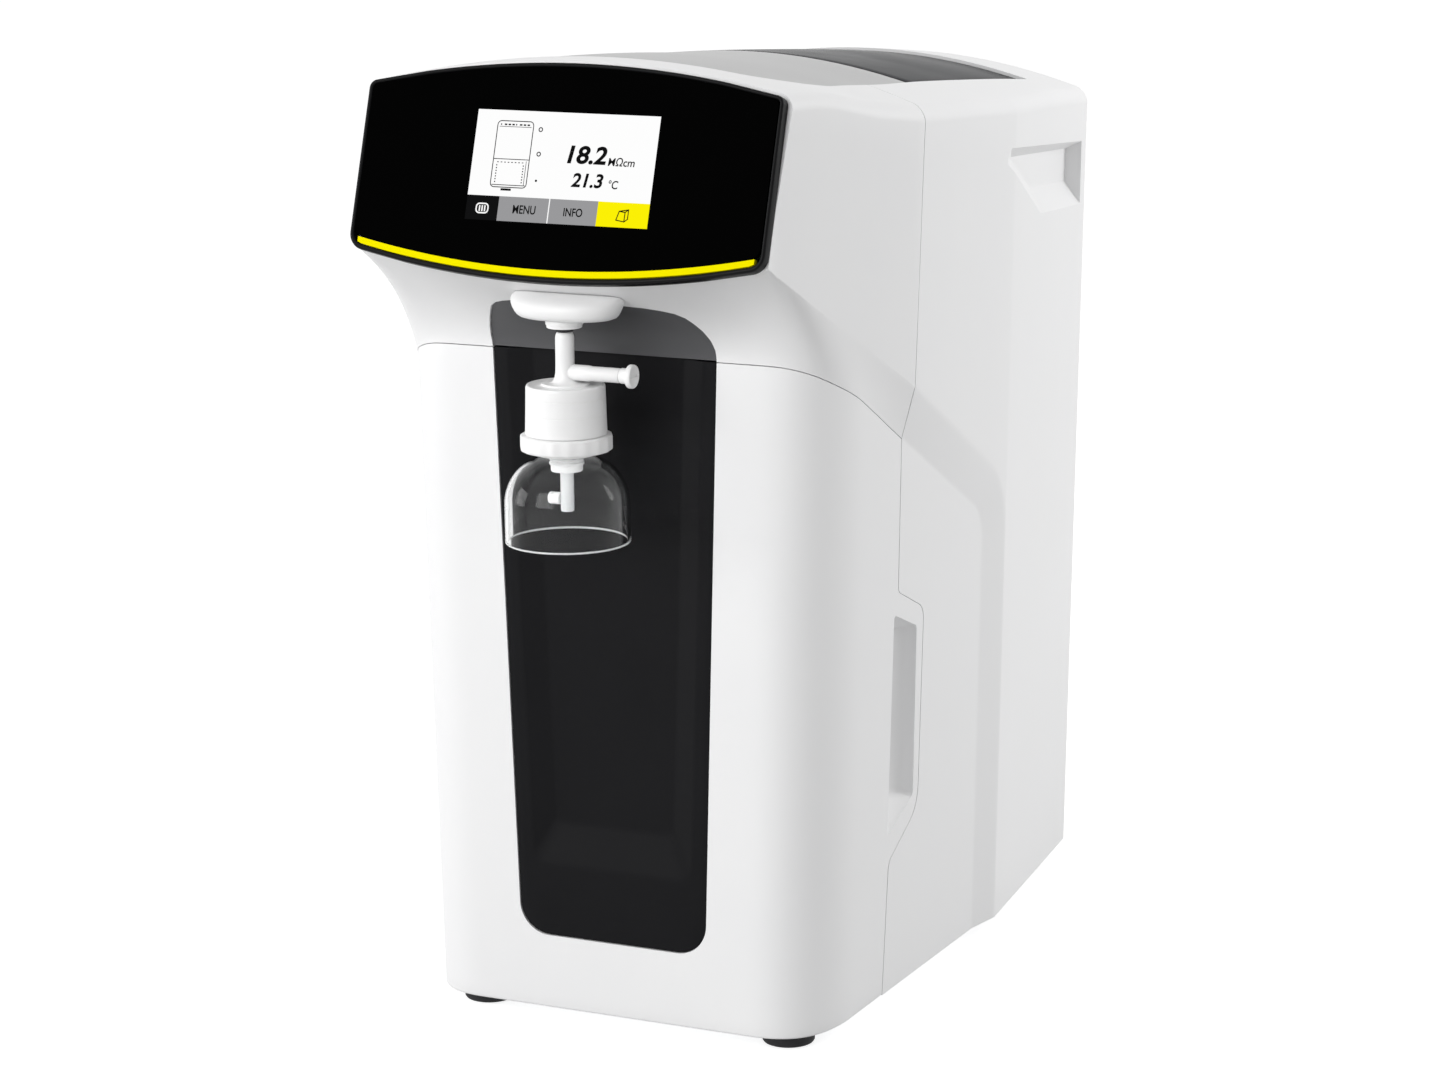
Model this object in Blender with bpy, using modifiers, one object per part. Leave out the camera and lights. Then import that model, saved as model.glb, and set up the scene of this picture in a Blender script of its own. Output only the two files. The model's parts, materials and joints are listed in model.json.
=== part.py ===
# Bench-top ultrapure water system, modelled as separate pieces.
# Units are metres, +Z is up and the operator stands at -Y. The pieces are set out
# from the flat front face of the lower cover, and one empty centres the whole
# object over the origin, with the feet on Z = 0.

import math

import bmesh
import bpy
from mathutils import Matrix, Vector

# General fits
GAP = 0.0003
SEAM_GAP = 0.0005
WELD = 0.000002
TURN_WELD = 0.00001
OVERRUN = 0.005
WALL = 0.003
ROUND_STEPS = 32
SMALL_ROUND_STEPS = 20
SHARP_ANGLE = math.radians(32)

# Casing, side walls: half widths at the shell's bottom edge
SHELL_BOTTOM = 0.009
SIDE_DRAFT = 0.0215
FRONT_FLAT_HALF = 0.083
FRONT_CORNER_REACH = 0.104
FRONT_CORNER_SIDE = 0.1088
FRONT_CORNER_END_HALF = 0.1113
FRONT_CORNER_BEND = 0.014
FRONT_CORNER_END = 0.044
INNER_HALF_AT_SEAM = 0.1135
SEAM_Y = 0.0955
INNER_HALF_AT_BAND = 0.1159
BAND_FRONT_Y = 0.206
BAND_REAR_Y = 0.2295
OUTER_HALF_AT_DISPLAY = 0.1113
OUTER_FRONT_Y = -0.040
OUTER_HALF_MIDDLE = 0.1203
OUTER_HALF_REAR = 0.1048
REAR_TAPER_END = 0.383
REAR_FACE_Y = 0.388
REAR_CORNER_STEP = 0.0042

# Casing, the slanted band between the lower cover and the head
CREASE_SLOPE = 0.548
CREASE_Z_AT_FRONT = 0.3809
NECK_SEAM_Z = 0.3533
NECK_SEAM_SETBACK = 0.003

# Casing, neck under the display
NECK_REACH = 0.057
NECK_RISE = 0.044
NECK_CURVE_POWER = 0.6

# Casing, arched top
TOP_RIDGE_POINTS = (
    (-0.065, 0.4975),
    (-0.0255, 0.4984),
    (0.016, 0.4993),
    (0.060, 0.4972),
    (0.1147, 0.4926),
    (0.1705, 0.4888),
    (0.241, 0.4831),
    (0.296, 0.4782),
    (0.388, 0.4687),
)
ARCH_RADIUS_FRONT = 0.526
ARCH_RADIUS_REAR = 0.338
ARCH_BLEND_START = -0.028
ARCH_BLEND_END = 0.060
SHOULDER_RADIUS = 0.007

# Display assembly, tilted back
DISPLAY_TILT = math.radians(18.4)
DISPLAY_BOTTOM_Y = -0.0587
DISPLAY_BOTTOM_Z = 0.3968
DISPLAY_HALF_WIDTH = 0.1112
DISPLAY_HEIGHT = 0.1071
DISPLAY_BOTTOM_SAG = 0.0122
DISPLAY_TOP_SAG = 0.0124
DISPLAY_TOP_CORNER = 0.0045
DISPLAY_BOTTOM_CORNER = 0.0085
BEZEL_DEPTH = 0.006
BEZEL_RIM = 0.0022
BEZEL_BOTTOM_RIM = 0.0027
BEZEL_BACK = 0.0022
STRIP_HEIGHT = 0.0035
GLASS_SETBACK = 0.0004
SCREEN_WIDTH = 0.098
SCREEN_HEIGHT = 0.0541
SCREEN_BOTTOM = 0.0287
LCD_FLANGE = 0.003
LCD_SCREEN_SETBACK = 0.0002
BOARD_THICKNESS = 0.0016
DISPLAY_BOARD_WIDTH = 0.140
DISPLAY_BOARD_HEIGHT = 0.066

# Lower front cover and its inlay
INLAY_TOP_HALF = 0.0617
INLAY_BOTTOM_HALF = 0.0524
INLAY_BOTTOM_Z = 0.048
INLAY_CORNER = 0.0167
INLAY_SETBACK = 0.0004
CHANNEL_TOP_HALF = 0.0545
CHANNEL_BOTTOM_HALF = 0.0445
CHANNEL_BOTTOM_Z = 0.086
CHANNEL_FLOOR_TOP_HALF = 0.0415
CHANNEL_FLOOR_BOTTOM_HALF = 0.0330
CHANNEL_FLOOR_BOTTOM_Z = 0.108
CHANNEL_DEPTH = 0.0047
INLAY_THICKNESS = 0.0035
JOG_BOTTOM_Y = 0.0845
JOG_LOWER_Y = 0.088
JOG_LOWER_Z = 0.070
JOG_KNEE_Z = 0.080
JOG_KNEE_Y = 0.0900
JOG_REAR_LOW_Y = 0.1265
JOG_REAR_LOW_Z = 0.1005
JOG_REAR_HIGH_Y = 0.1290
JOG_REAR_HIGH_Z = 0.197
JOG_SHOULDER_Y = 0.1240
JOG_SHOULDER_Z = 0.208
JOG_TOP_Z = 0.223
SEAM_TOP_LEAN = 0.0075
GRIP_DEPTH = 0.013
GRIP_FRONT_Y = 0.0905
GRIP_REAR_Y = 0.1200
GRIP_TOP_FRONT_Z = 0.2115
GRIP_TOP_REAR_Z = 0.1995
GRIP_BOTTOM_REAR_Z = 0.1088
GRIP_BOTTOM_FRONT_Z = 0.0945
GRIP_TIP_Y = 0.0872
GRIP_FLOOR_REAR_Y = 0.1000
GRIP_FLOOR_TOP_Z = 0.2005
GRIP_FLOOR_BOTTOM_Z = 0.1160

# Head inlay, the dark arch behind the nozzle
HEAD_INLAY_TOP_HALF = 0.0515
HEAD_INLAY_TOP_Z = 0.3845
HEAD_INLAY_SIDE_Z = 0.3720
HEAD_INLAY_SIDE_HALF = 0.0570
HEAD_INLAY_DEPTH = 0.0045
HEAD_INLAY_THICKNESS = 0.003

# Carry recesses in the rear shell
CARRY_DEPTH = 0.0105
CARRY_FRONT_Y = 0.2160
CARRY_TOP_FRONT_Y = 0.2240
CARRY_TOP_FRONT_Z = 0.4355
CARRY_SIDE_FRONT_Z = 0.4260
CARRY_REAR_Y = 0.3730
CARRY_TOP_REAR_Z = 0.4225
CARRY_BOTTOM_REAR_Z = 0.3867
CARRY_BOTTOM_Y = 0.2820
CARRY_BOTTOM_Z = 0.3932
CARRY_FLOOR_FRONT_Y = 0.2470
CARRY_FLOOR_TOP_FRONT_Z = 0.4296
CARRY_FLOOR_TOP_REAR_Z = 0.4177
CARRY_FLOOR_BOTTOM_REAR_Z = 0.3995
CARRY_FLOOR_BOTTOM_Y = 0.2936
CARRY_FLOOR_BOTTOM_Z = 0.4060

# Top panels
LID_HALF_WIDTH = 0.0985
LID_FRONT_Y = 0.001
LID_SPLIT_Y = 0.162
LID_REAR_Y = 0.329
LID_FRONT_CORNER = 0.028
LID_SETBACK = 0.0015
LID_REAR_GAP = 0.0032
HINGE_INSET = 0.009
HINGE_DROP = 0.007
HINGE_PIN_RADIUS = 0.0015
HINGE_BORE_CLEARANCE = 0.0003
HINGE_LUG_WIDTH = 0.005
HINGE_LUG_REACH = 0.004
HINGE_BRACKET_HALF = 0.008
HINGE_BRACKET_LENGTH = 0.024
HINGE_SWING_ROOM = 0.0010
HINGE_BRACKET_THICKNESS = 0.003

# Feet and floor
FOOT_RADIUS = 0.0135
FOOT_BEVEL = 0.002
FOOT_PIN_RADIUS = 0.003
FOOT_FRONT_Y = 0.027
FOOT_REAR_Y = 0.350
FOOT_INSET = 0.0188
BASE_THICKNESS = 0.003
BASE_CLEARANCE = 0.0008

# Rear panel and its fittings
REAR_PANEL_SETBACK = 0.002
REAR_PANEL_THICKNESS = 0.003
REAR_PANEL_CLEARANCE = 0.0008
REAR_SCREW_HEAD_RADIUS = 0.0035
REAR_SCREW_HEAD_HEIGHT = 0.0016
REAR_SCREW_SHANK_RADIUS = 0.0015
REAR_SCREW_LENGTH = 0.010
REAR_SCREW_HALF_SPACING = 0.090
REAR_SCREW_LOW_Z = 0.030
REAR_SCREW_HIGH_Z = 0.400
MAINS_WIDTH = 0.048
MAINS_HEIGHT = 0.028
MAINS_DEPTH = 0.028
MAINS_X = 0.052
MAINS_Z = 0.052
MAINS_LIP = 0.002
MAINS_SOCKET_WIDTH = 0.025
MAINS_SOCKET_HEIGHT = 0.017
MAINS_SOCKET_DEPTH = 0.016
MAINS_BLADE_WIDTH = 0.002
MAINS_BLADE_HEIGHT = 0.004
MAINS_BLADE_LENGTH = 0.012
MAINS_BLADE_SPACING = 0.007
SWITCH_WIDTH = 0.015
SWITCH_HEIGHT = 0.022
SWITCH_X = 0.004
SWITCH_FRAME = 0.002
SWITCH_DEPTH = 0.016
ROCKER_CLEARANCE = 0.0006
ROCKER_TILT = math.radians(8)
ROCKER_RADIUS = 0.005
ROCKER_FRONT = 0.0015
PORT_RADIUS = 0.009
PORT_FLANGE_RADIUS = 0.012
PORT_FLANGE = 0.003
PORT_BORE_RADIUS = 0.004
PORT_NECK_RADIUS = 0.006
PORT_IN_LENGTH = 0.016
PORT_Z = 0.052
FEED_X = -0.038
DRAIN_X = -0.074
DATA_WIDTH = 0.016
DATA_HEIGHT = 0.013
DATA_DEPTH = 0.014
DATA_X = 0.052
DATA_Z = 0.100
DATA_SOCKET_WALL = 0.0015
VENT_SLOT_WIDTH = 0.044
VENT_SLOT_HEIGHT = 0.004
VENT_SLOT_PITCH = 0.010
VENT_SLOT_COUNT = 5
VENT_SLOT_Z = 0.140

# Dispensing nozzle, from the pad down
NOZZLE_Y = -0.041
PAD_LENGTH = 0.060
PAD_DEPTH = 0.030
PAD_BOTTOM_Z = 0.374
PAD_TOP_Z = 0.3905
PAD_BOTTOM_TAPER = 0.003
PAD_BEVEL = 0.004
PAD_END_STEPS = 7
PAD_EDGE_SHARES = ((0.0, 0.7), (0.3, 0.2), (1.0, -0.15))
PAD_NECK_GAP = 0.0004
COLLAR_RADIUS = 0.0091
COLLAR_HEIGHT = 0.0050
COLLAR_BEVEL = 0.001
NIPPLE_RADIUS = 0.0024
NIPPLE_LENGTH = 0.0135
NIPPLE_BORE_RADIUS = 0.0014
O_RING_RADIUS = 0.0009
STEM_TOP_RADIUS = 0.0046
STEM_RADIUS = 0.0058
STEM_BORE_CLEARANCE = 0.0003
STEM_BORE_DEPTH = 0.015
CAPSULE_TOP_Z = 0.345
CAPSULE_RADIUS = 0.0200
CAPSULE_BOTTOM_RADIUS = 0.0206
CAPSULE_HEIGHT = 0.0245
CAPSULE_BEVEL = 0.0012
CAPSULE_DISC_RADIUS = 0.0118
CAPSULE_DISC_HEIGHT = 0.0008
FLANGE_RADIUS = 0.0230
FLANGE_HEIGHT = 0.0078
FLANGE_BEVEL = 0.0010
DISC_RADIUS = 0.0152
DISC_HEIGHT = 0.0020
NECK_RADIUS = 0.0086
NECK_STEP_RADIUS = 0.0078
NECK_HEIGHT = 0.0085
OUTLET_RADIUS = 0.0033
OUTLET_BORE_RADIUS = 0.0018
OUTLET_LENGTH = 0.0200
TIP_CAP_RADIUS = 0.0030
TIP_CAP_LENGTH = 0.0060
TIP_CAP_RISE = 0.0060
VENT_AXIS_RISE = 0.0060
VENT_ROOT_RADIUS = 0.0045
VENT_BARREL_LENGTH = 0.0165
VENT_TIP_RADIUS = 0.0034
VENT_LENGTH = 0.0300
VENT_NECK_RADIUS = 0.0022
VENT_NECK_LENGTH = 0.0030
KNOB_RADIUS = 0.0058
KNOB_DISC = 0.0030
KNOB_HUB_RADIUS = 0.0038
KNOB_HUB_LENGTH = 0.0040
KNOB_SLOT_WIDTH = 0.0014
KNOB_SLOT_DEPTH = 0.0010
KNOB_SLOT_REACH_SHARE = 0.7
BELL_RADIUS = 0.0307
BELL_WALL = 0.0014
BELL_STRAIGHT = 0.0225
BELL_HEIGHT = 0.0431
BELL_HOLE_CLEARANCE = 0.0003
BELL_TOP_GAP = 0.0006
BELL_DOME_STEPS = 8
BELL_ROUND_POWER = 0.8

# Inner frame
CHASSIS_Y = 0.150
CHASSIS_THICKNESS = 0.002
CHASSIS_HALF_WIDTH = 0.092
CHASSIS_TOP_Z = 0.430
CHASSIS_FLANGE = 0.020
SHELF_Z = 0.170
SHELF_THICKNESS = 0.002
SHELF_REAR_Y = 0.372
SHELF_LEG_WIDTH = 0.012
SHELF_HALF_WIDTH = 0.092
SHELF_LIP = 0.012

# Storage tank on the shelf
TANK_HALF_WIDTH = 0.088
TANK_FRONT_Y = 0.160
TANK_REAR_Y = 0.362
TANK_HEIGHT = 0.236
TANK_BEVEL = 0.016
TANK_CAP_RADIUS = 0.024
TANK_CAP_HEIGHT = 0.012
TANK_CAP_Y = 0.250

# Wet parts in front of the inner frame
CARTRIDGE_RADIUS = 0.031
CARTRIDGE_HEIGHT = 0.235
CARTRIDGE_Y = 0.080
CARTRIDGE_X_CENTRES = (-0.056, 0.012)
CARTRIDGE_DOME = 0.010
CARTRIDGE_DOME_SHARES = ((0.6, 0.1), (0.9, 0.5))
CARTRIDGE_NECK_RADIUS = 0.009
CARTRIDGE_NECK_HEIGHT = 0.012
HOLDER_THICKNESS = 0.010
HOLDER_MARGIN = 0.004
LAMP_RADIUS = 0.016
LAMP_OVER_CARTRIDGE = 0.005
LAMP_X = 0.068
LAMP_CAP_RADIUS = 0.0185
LAMP_CAP_HEIGHT = 0.016
MANIFOLD_DEPTH = 0.026
MANIFOLD_HEIGHT = 0.020
CELL_RADIUS = 0.008
CELL_HEIGHT = 0.030
CELL_X = -0.020
VALVE_WIDTH = 0.024
VALVE_HEIGHT = 0.030
VALVE_X = 0.030
COIL_RADIUS = 0.009
COIL_HEIGHT = 0.022

# Dry and pumping parts behind the inner frame, under the shelf
PUMP_RADIUS = 0.024
PUMP_LENGTH = 0.070
PUMP_HEAD_RADIUS = 0.027
PUMP_HEAD_LENGTH = 0.028
PUMP_X = -0.050
PUMP_Y = 0.215
PUMP_AXIS_RISE = 0.034
PUMP_PORT_RADIUS = 0.005
PUMP_PORT_HEIGHT = 0.012
CRADLE_WIDTH = 0.044
CRADLE_LENGTH = 0.060
SUPPLY_WIDTH = 0.085
SUPPLY_LENGTH = 0.120
SUPPLY_HEIGHT = 0.042
SUPPLY_X = 0.038
SUPPLY_Y = 0.240
CONTROL_WIDTH = 0.120
CONTROL_HEIGHT = 0.080
CONTROL_Z = 0.330

OBJECT_NAME = "water_system"

# The bell reaches furthest forward, so the middle lies between it and the rear face
CENTRE_DEPTH = (REAR_FACE_Y + NOZZLE_Y - BELL_RADIUS) / 2

for old in list(bpy.data.objects):
    bpy.data.objects.remove(old, do_unlink=True)

parts = bpy.data.collections.new(OBJECT_NAME)
cutters = bpy.data.collections.new("cutters")
bpy.context.scene.collection.children.link(parts)
bpy.context.scene.collection.children.link(cutters)

middle = bpy.data.objects.new("middle", None)
middle.location = (0, -CENTRE_DEPTH, 0)
parts.objects.link(middle)


# Materials


def finish(name, colour, roughness, metallic=0.0, clear=0.0):
    material = bpy.data.materials.new(name)
    material.use_nodes = True
    shader = material.node_tree.nodes["Principled BSDF"]
    shader.inputs["Base Color"].default_value = (*colour, 1)
    shader.inputs["Roughness"].default_value = roughness
    shader.inputs["Metallic"].default_value = metallic
    shader.inputs["Transmission Weight"].default_value = clear
    return material


WHITE = (0.86, 0.86, 0.85)
BLACK = (0.012, 0.012, 0.013)
DARK = (0.06, 0.06, 0.062)
GREY = (0.45, 0.45, 0.45)
CLEAR = (0.9, 0.93, 0.94)
MILKY = (0.88, 0.88, 0.87)
STEEL = (0.6, 0.6, 0.6)
YELLOW = (0.95, 0.85, 0.01)
GREEN = (0.02, 0.16, 0.06)
BLUE = (0.05, 0.18, 0.42)
SOFT_WHITE = (0.75, 0.77, 0.78)


# Objects


def place(name, mesh, colour, roughness=0.4, metallic=0.0, clear=0.0, at=(0, 0, 0), parent=None):
    piece = bpy.data.objects.new(name, mesh)
    parts.objects.link(piece)
    piece.parent = parent or middle
    piece.location = at
    mesh.materials.clear()
    mesh.materials.append(finish(name, colour, roughness, metallic, clear))
    return piece


def cutter(name, mesh, at=(0, 0, 0), parent=None):
    tool = bpy.data.objects.new(name, mesh)
    cutters.objects.link(tool)
    tool.parent = parent or middle
    tool.location = at
    tool.hide_render = True
    tool.display_type = "WIRE"
    return tool


def combine(piece, other, operation):
    change = piece.modifiers.new(other.name, "BOOLEAN")
    change.operation = operation
    change.object = other
    change.solver = "EXACT"


def cut(piece, other):
    combine(piece, other, "DIFFERENCE")


def join(piece, other):
    combine(piece, other, "UNION")


def keep_inside(piece, other):
    combine(piece, other, "INTERSECT")


def bevel(piece, width, segments=2):
    change = piece.modifiers.new("bevel", "BEVEL")
    change.width = width
    change.segments = segments
    change.limit_method = "ANGLE"
    change.angle_limit = SHARP_ANGLE


def shade(piece):
    piece.data.shade_smooth()
    piece.data.set_sharp_from_angle(angle=SHARP_ANGLE)


# Meshes


def box_mesh(size, middle_at=(0, 0, 0)):
    mesh = bpy.data.meshes.new("box")
    shape = bmesh.new()
    bmesh.ops.create_cube(shape, size=1)
    bmesh.ops.scale(shape, vec=Vector(size), verts=shape.verts)
    bmesh.ops.translate(shape, vec=Vector(middle_at), verts=shape.verts)
    shape.to_mesh(mesh)
    shape.free()
    return mesh


def span_mesh(low, high):
    size = [b - a for a, b in zip(low, high)]
    centre = [(a + b) / 2 for a, b in zip(low, high)]
    return box_mesh(size, centre)


AXIS_TURNS = {
    "Z": Matrix.Identity(4),
    "X": Matrix.Rotation(math.pi / 2, 4, "Y"),
    "Y": Matrix.Rotation(-math.pi / 2, 4, "X"),
}


def rod_mesh(radius, start, end, axis="Z", steps=ROUND_STEPS, end_radius=None):
    mesh = bpy.data.meshes.new("rod")
    shape = bmesh.new()
    last = radius if end_radius is None else end_radius
    bmesh.ops.create_cone(
        shape, cap_ends=True, segments=steps, radius1=radius, radius2=last, depth=end - start)
    bmesh.ops.translate(shape, vec=(0, 0, (start + end) / 2), verts=shape.verts)
    bmesh.ops.transform(shape, matrix=AXIS_TURNS[axis], verts=shape.verts)
    shape.to_mesh(mesh)
    shape.free()
    return mesh


def turned_mesh(profile):
    """Outline of a turned piece at +X, written from the top down its outer side."""
    mesh = bpy.data.meshes.new("turned")
    points = [(radius, 0, height) for radius, height in profile]
    edges = [(i, i + 1) for i in range(len(points) - 1)]
    mesh.from_pydata(points, edges, [])
    return mesh


def turn(piece, steps=ROUND_STEPS):
    change = piece.modifiers.new("turn", "SCREW")
    change.steps = steps
    change.render_steps = steps
    change.use_merge_vertices = True
    change.merge_threshold = TURN_WELD
    change.use_smooth_shade = True


def slab_mesh(outline, half_thickness, matrix=None):
    """A flat outline in X and Y, thickened both ways, then turned by a matrix."""
    curve = bpy.data.curves.new("outline", "CURVE")
    curve.dimensions = "2D"
    curve.fill_mode = "BOTH"
    curve.extrude = half_thickness
    line = curve.splines.new("POLY")
    line.points.add(len(outline) - 1)
    for point, (x, y) in zip(line.points, outline):
        point.co = (x, y, 0, 1)
    line.use_cyclic_u = True
    holder = bpy.data.objects.new("outline", curve)
    bpy.context.scene.collection.objects.link(holder)
    bpy.context.view_layer.update()
    evaluated = holder.evaluated_get(bpy.context.evaluated_depsgraph_get())
    mesh = bpy.data.meshes.new_from_object(evaluated)
    bpy.data.objects.remove(holder, do_unlink=True)
    shape = bmesh.new()
    shape.from_mesh(mesh)
    bmesh.ops.remove_doubles(shape, verts=shape.verts, dist=WELD)
    if matrix is not None:
        bmesh.ops.transform(shape, matrix=matrix, verts=shape.verts)
    bmesh.ops.recalc_face_normals(shape, faces=shape.faces)
    shape.to_mesh(mesh)
    shape.free()
    return mesh


def loft_mesh(rings):
    """Closed skin over rings of equal length, with a face at each end."""
    mesh = bpy.data.meshes.new("loft")
    shape = bmesh.new()
    rows = [[shape.verts.new(point) for point in ring] for ring in rings]
    count = len(rows[0])
    for row, following in zip(rows, rows[1:]):
        for i in range(count):
            j = (i + 1) % count
            shape.faces.new((row[i], row[j], following[j], following[i]))
    shape.faces.new(list(reversed(rows[0])))
    shape.faces.new(rows[-1])
    bmesh.ops.remove_doubles(shape, verts=shape.verts, dist=WELD)
    bmesh.ops.dissolve_degenerate(shape, dist=WELD, edges=shape.edges)
    bmesh.ops.recalc_face_normals(shape, faces=shape.faces)
    shape.to_mesh(mesh)
    shape.free()
    return mesh


# Turns a drawing in X and Y into one in depth and height, thickened across
SIDE_VIEW = Matrix(((0, 0, 1, 0), (1, 0, 0, 0), (0, 1, 0, 0), (0, 0, 0, 1)))
# Turns a drawing in X and Y into one in width and height, thickened in depth
FRONT_VIEW = Matrix(((1, 0, 0, 0), (0, 0, 1, 0), (0, 1, 0, 0), (0, 0, 0, 1)))


# Shape of the casing


def between(value, table):
    """Straight-line reading of a table of (place, size) pairs."""
    if value <= table[0][0]:
        return table[0][1]
    for (a, p), (b, q) in zip(table, table[1:]):
        if value <= b:
            return p + (q - p) * (value - a) / (b - a)
    return table[-1][1]


def corner_point(share):
    """Rounded vertical front corner of the cover, seen from above."""
    keep = 1 - share
    a = keep ** 3
    b = 3 * keep ** 2 * share
    c = 3 * keep * share ** 2
    d = share ** 3
    x = (a * FRONT_FLAT_HALF + b * FRONT_CORNER_REACH
         + c * FRONT_CORNER_SIDE + d * FRONT_CORNER_END_HALF)
    y = c * FRONT_CORNER_BEND + d * FRONT_CORNER_END
    return x, y


CORNER_SHARES = (0.0, 0.15, 0.3, 0.45, 0.6, 0.8, 1.0)
NECK_SHARES = (1.0, 0.8, 0.6, 0.42, 0.27, 0.15, 0.06, 0.0)
MIDDLE_SHARES = (0.33, 0.66, 1.0)
REAR_SHARES = (0.25, 0.5, 0.75, 1.0)
CORNER_STEP_SHARES = (0.6, 1.0)
ARCH_SHARES = (0.75, 0.5, 0.25, 0.0)
SHOULDER_ANGLES = (0.0, math.pi / 6, math.pi / 3, math.pi / 2)
# Where the neck's underside turns from flat to rising, and its slant under an inset
FLAT_SHARE = 0.85
NECK_OFFSET_SHARE = 0.75
CORNER_POINTS = [corner_point(share) for share in CORNER_SHARES]

INNER_WIDTHS = [(y, x) for x, y in CORNER_POINTS] + [
    (SEAM_Y, INNER_HALF_AT_SEAM),
    (BAND_FRONT_Y, INNER_HALF_AT_BAND),
]
OUTER_WIDTHS = [
    (OUTER_FRONT_Y, OUTER_HALF_AT_DISPLAY),
    (SEAM_Y, OUTER_HALF_MIDDLE),
    (BAND_REAR_Y, OUTER_HALF_MIDDLE),
    (REAR_TAPER_END, OUTER_HALF_REAR),
]


def inner_half(y, z):
    return between(y, INNER_WIDTHS) + SIDE_DRAFT * (z - SHELL_BOTTOM)


def outer_half(y, z):
    share = min(max((y - OUTER_FRONT_Y) / (SEAM_Y - OUTER_FRONT_Y), 0), 1)
    return between(y, OUTER_WIDTHS) + SIDE_DRAFT * share * (z - SHELL_BOTTOM)


def crease_z(y):
    return CREASE_Z_AT_FRONT - CREASE_SLOPE * min(y, BAND_REAR_Y)


def seam_z(y):
    back = max(min(y, BAND_FRONT_Y) - NECK_SEAM_SETBACK, 0)
    return NECK_SEAM_Z - CREASE_SLOPE * back


def ridge_z(y):
    return between(y, TOP_RIDGE_POINTS)


def arch_drop(y, x):
    share = min(max((y - ARCH_BLEND_START) / (ARCH_BLEND_END - ARCH_BLEND_START), 0), 1)
    radius = ARCH_RADIUS_FRONT + (ARCH_RADIUS_REAR - ARCH_RADIUS_FRONT) * share
    return x * x / (2 * radius)


def casing_half_ring(y, inset, front_side):
    """Half section of the casing at one depth, from the bottom middle to the top middle."""
    station = y
    step = 0
    if y > REAR_TAPER_END:
        step = REAR_CORNER_STEP * ((y - REAR_TAPER_END) / (REAR_FACE_Y - REAR_TAPER_END)) ** 2
        step = min(step, REAR_CORNER_STEP)
    high = crease_z(station)
    side = outer_half(station, high) - inset - step
    points = []
    if front_side:
        share = min(-y / NECK_REACH, 1)
        low = NECK_SEAM_Z + NECK_RISE * share ** NECK_CURVE_POWER
        flat = inner_half(0, NECK_SEAM_Z) - inset
        rise = high - low
        xs = (0, flat / 2, flat if y == 0 else flat * FLAT_SHARE, flat, (flat + side) / 2, side)
        for x in xs:
            ramp = max((x - flat) / (side - flat), 0)
            bow = (x / side) ** 2
            z = low + rise * (ramp * (1 - share) + bow * share)
            points.append((x, z))
        points = [(x, z + inset * NECK_OFFSET_SHARE) for x, z in points]
    else:
        low = SHELL_BOTTOM - (OVERRUN if inset else 0)
        if y <= BAND_FRONT_Y:
            share = 0
        else:
            share = min((y - BAND_FRONT_Y) / (BAND_REAR_Y - BAND_FRONT_Y), 1)

        def wall(z):
            return inner_half(y, z) * (1 - share) + outer_half(y, z) * share - inset - step

        knee = seam_z(y)
        lift = inset * NECK_OFFSET_SHARE if y <= 0 else 0
        points.append((0, low))
        points.append((wall(low) / 2, low))
        points.append((wall(low), low))
        points.append((wall(knee), knee + lift))
        points.append(((wall(knee) + side) / 2, (knee + high) / 2 + lift))
        points.append((side, high + lift))
    top_side = side
    for _ in range(3):
        edge = ridge_z(y) - arch_drop(y, top_side) - inset - step
        top_side = outer_half(y, edge) - inset - step
    for angle in SHOULDER_ANGLES:
        x = top_side - SHOULDER_RADIUS * (1 - math.cos(angle))
        z = ridge_z(y) - arch_drop(y, x) - inset - step - SHOULDER_RADIUS * (1 - math.sin(angle))
        points.append((x, z))
    last_x = points[-1][0]
    for share in ARCH_SHARES:
        x = last_x * share
        points.append((x, ridge_z(y) - arch_drop(y, x) - inset - step))
    return points


def full_ring(half, y):
    right = [(x, y, z) for x, z in half]
    left = [(-x, y, z) for x, z in reversed(half[1:-1])]
    return right + left


def casing_mesh(inset):
    """The whole closed casing form, or the same form drawn in by a wall."""
    rings = []
    lead = OVERRUN * 2
    front = casing_half_ring(-NECK_REACH, inset, True)
    rings.append(full_ring(front, -NECK_REACH - lead))
    for share in NECK_SHARES:
        y = -NECK_REACH * share
        half = casing_half_ring(y, inset, True)
        rings.append(full_ring(half, y + inset * (1 if share == 0 else NECK_OFFSET_SHARE)))
    for x, y in CORNER_POINTS:
        half = casing_half_ring(y, inset, False)
        rings.append(full_ring(half, y + inset))
    for share in MIDDLE_SHARES:
        y = FRONT_CORNER_END + (SEAM_Y - FRONT_CORNER_END) * share
        rings.append(full_ring(casing_half_ring(y, inset, False), y + inset))
    for share in MIDDLE_SHARES:
        y = SEAM_Y + (BAND_FRONT_Y - SEAM_Y) * share
        rings.append(full_ring(casing_half_ring(y, inset, False), y + inset))
    rings.append(full_ring(casing_half_ring(BAND_REAR_Y, inset, False), BAND_REAR_Y + inset))
    for share in REAR_SHARES:
        y = BAND_REAR_Y + (REAR_TAPER_END - BAND_REAR_Y) * share
        rings.append(full_ring(casing_half_ring(y, inset, False), y))
    if inset:
        rings.append(full_ring(casing_half_ring(REAR_TAPER_END, inset, False),
                               REAR_FACE_Y + OVERRUN))
    else:
        for share in CORNER_STEP_SHARES:
            y = REAR_TAPER_END + (REAR_FACE_Y - REAR_TAPER_END) * share
            rings.append(full_ring(casing_half_ring(y, inset, False), y))
    return loft_mesh(rings)


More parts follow.
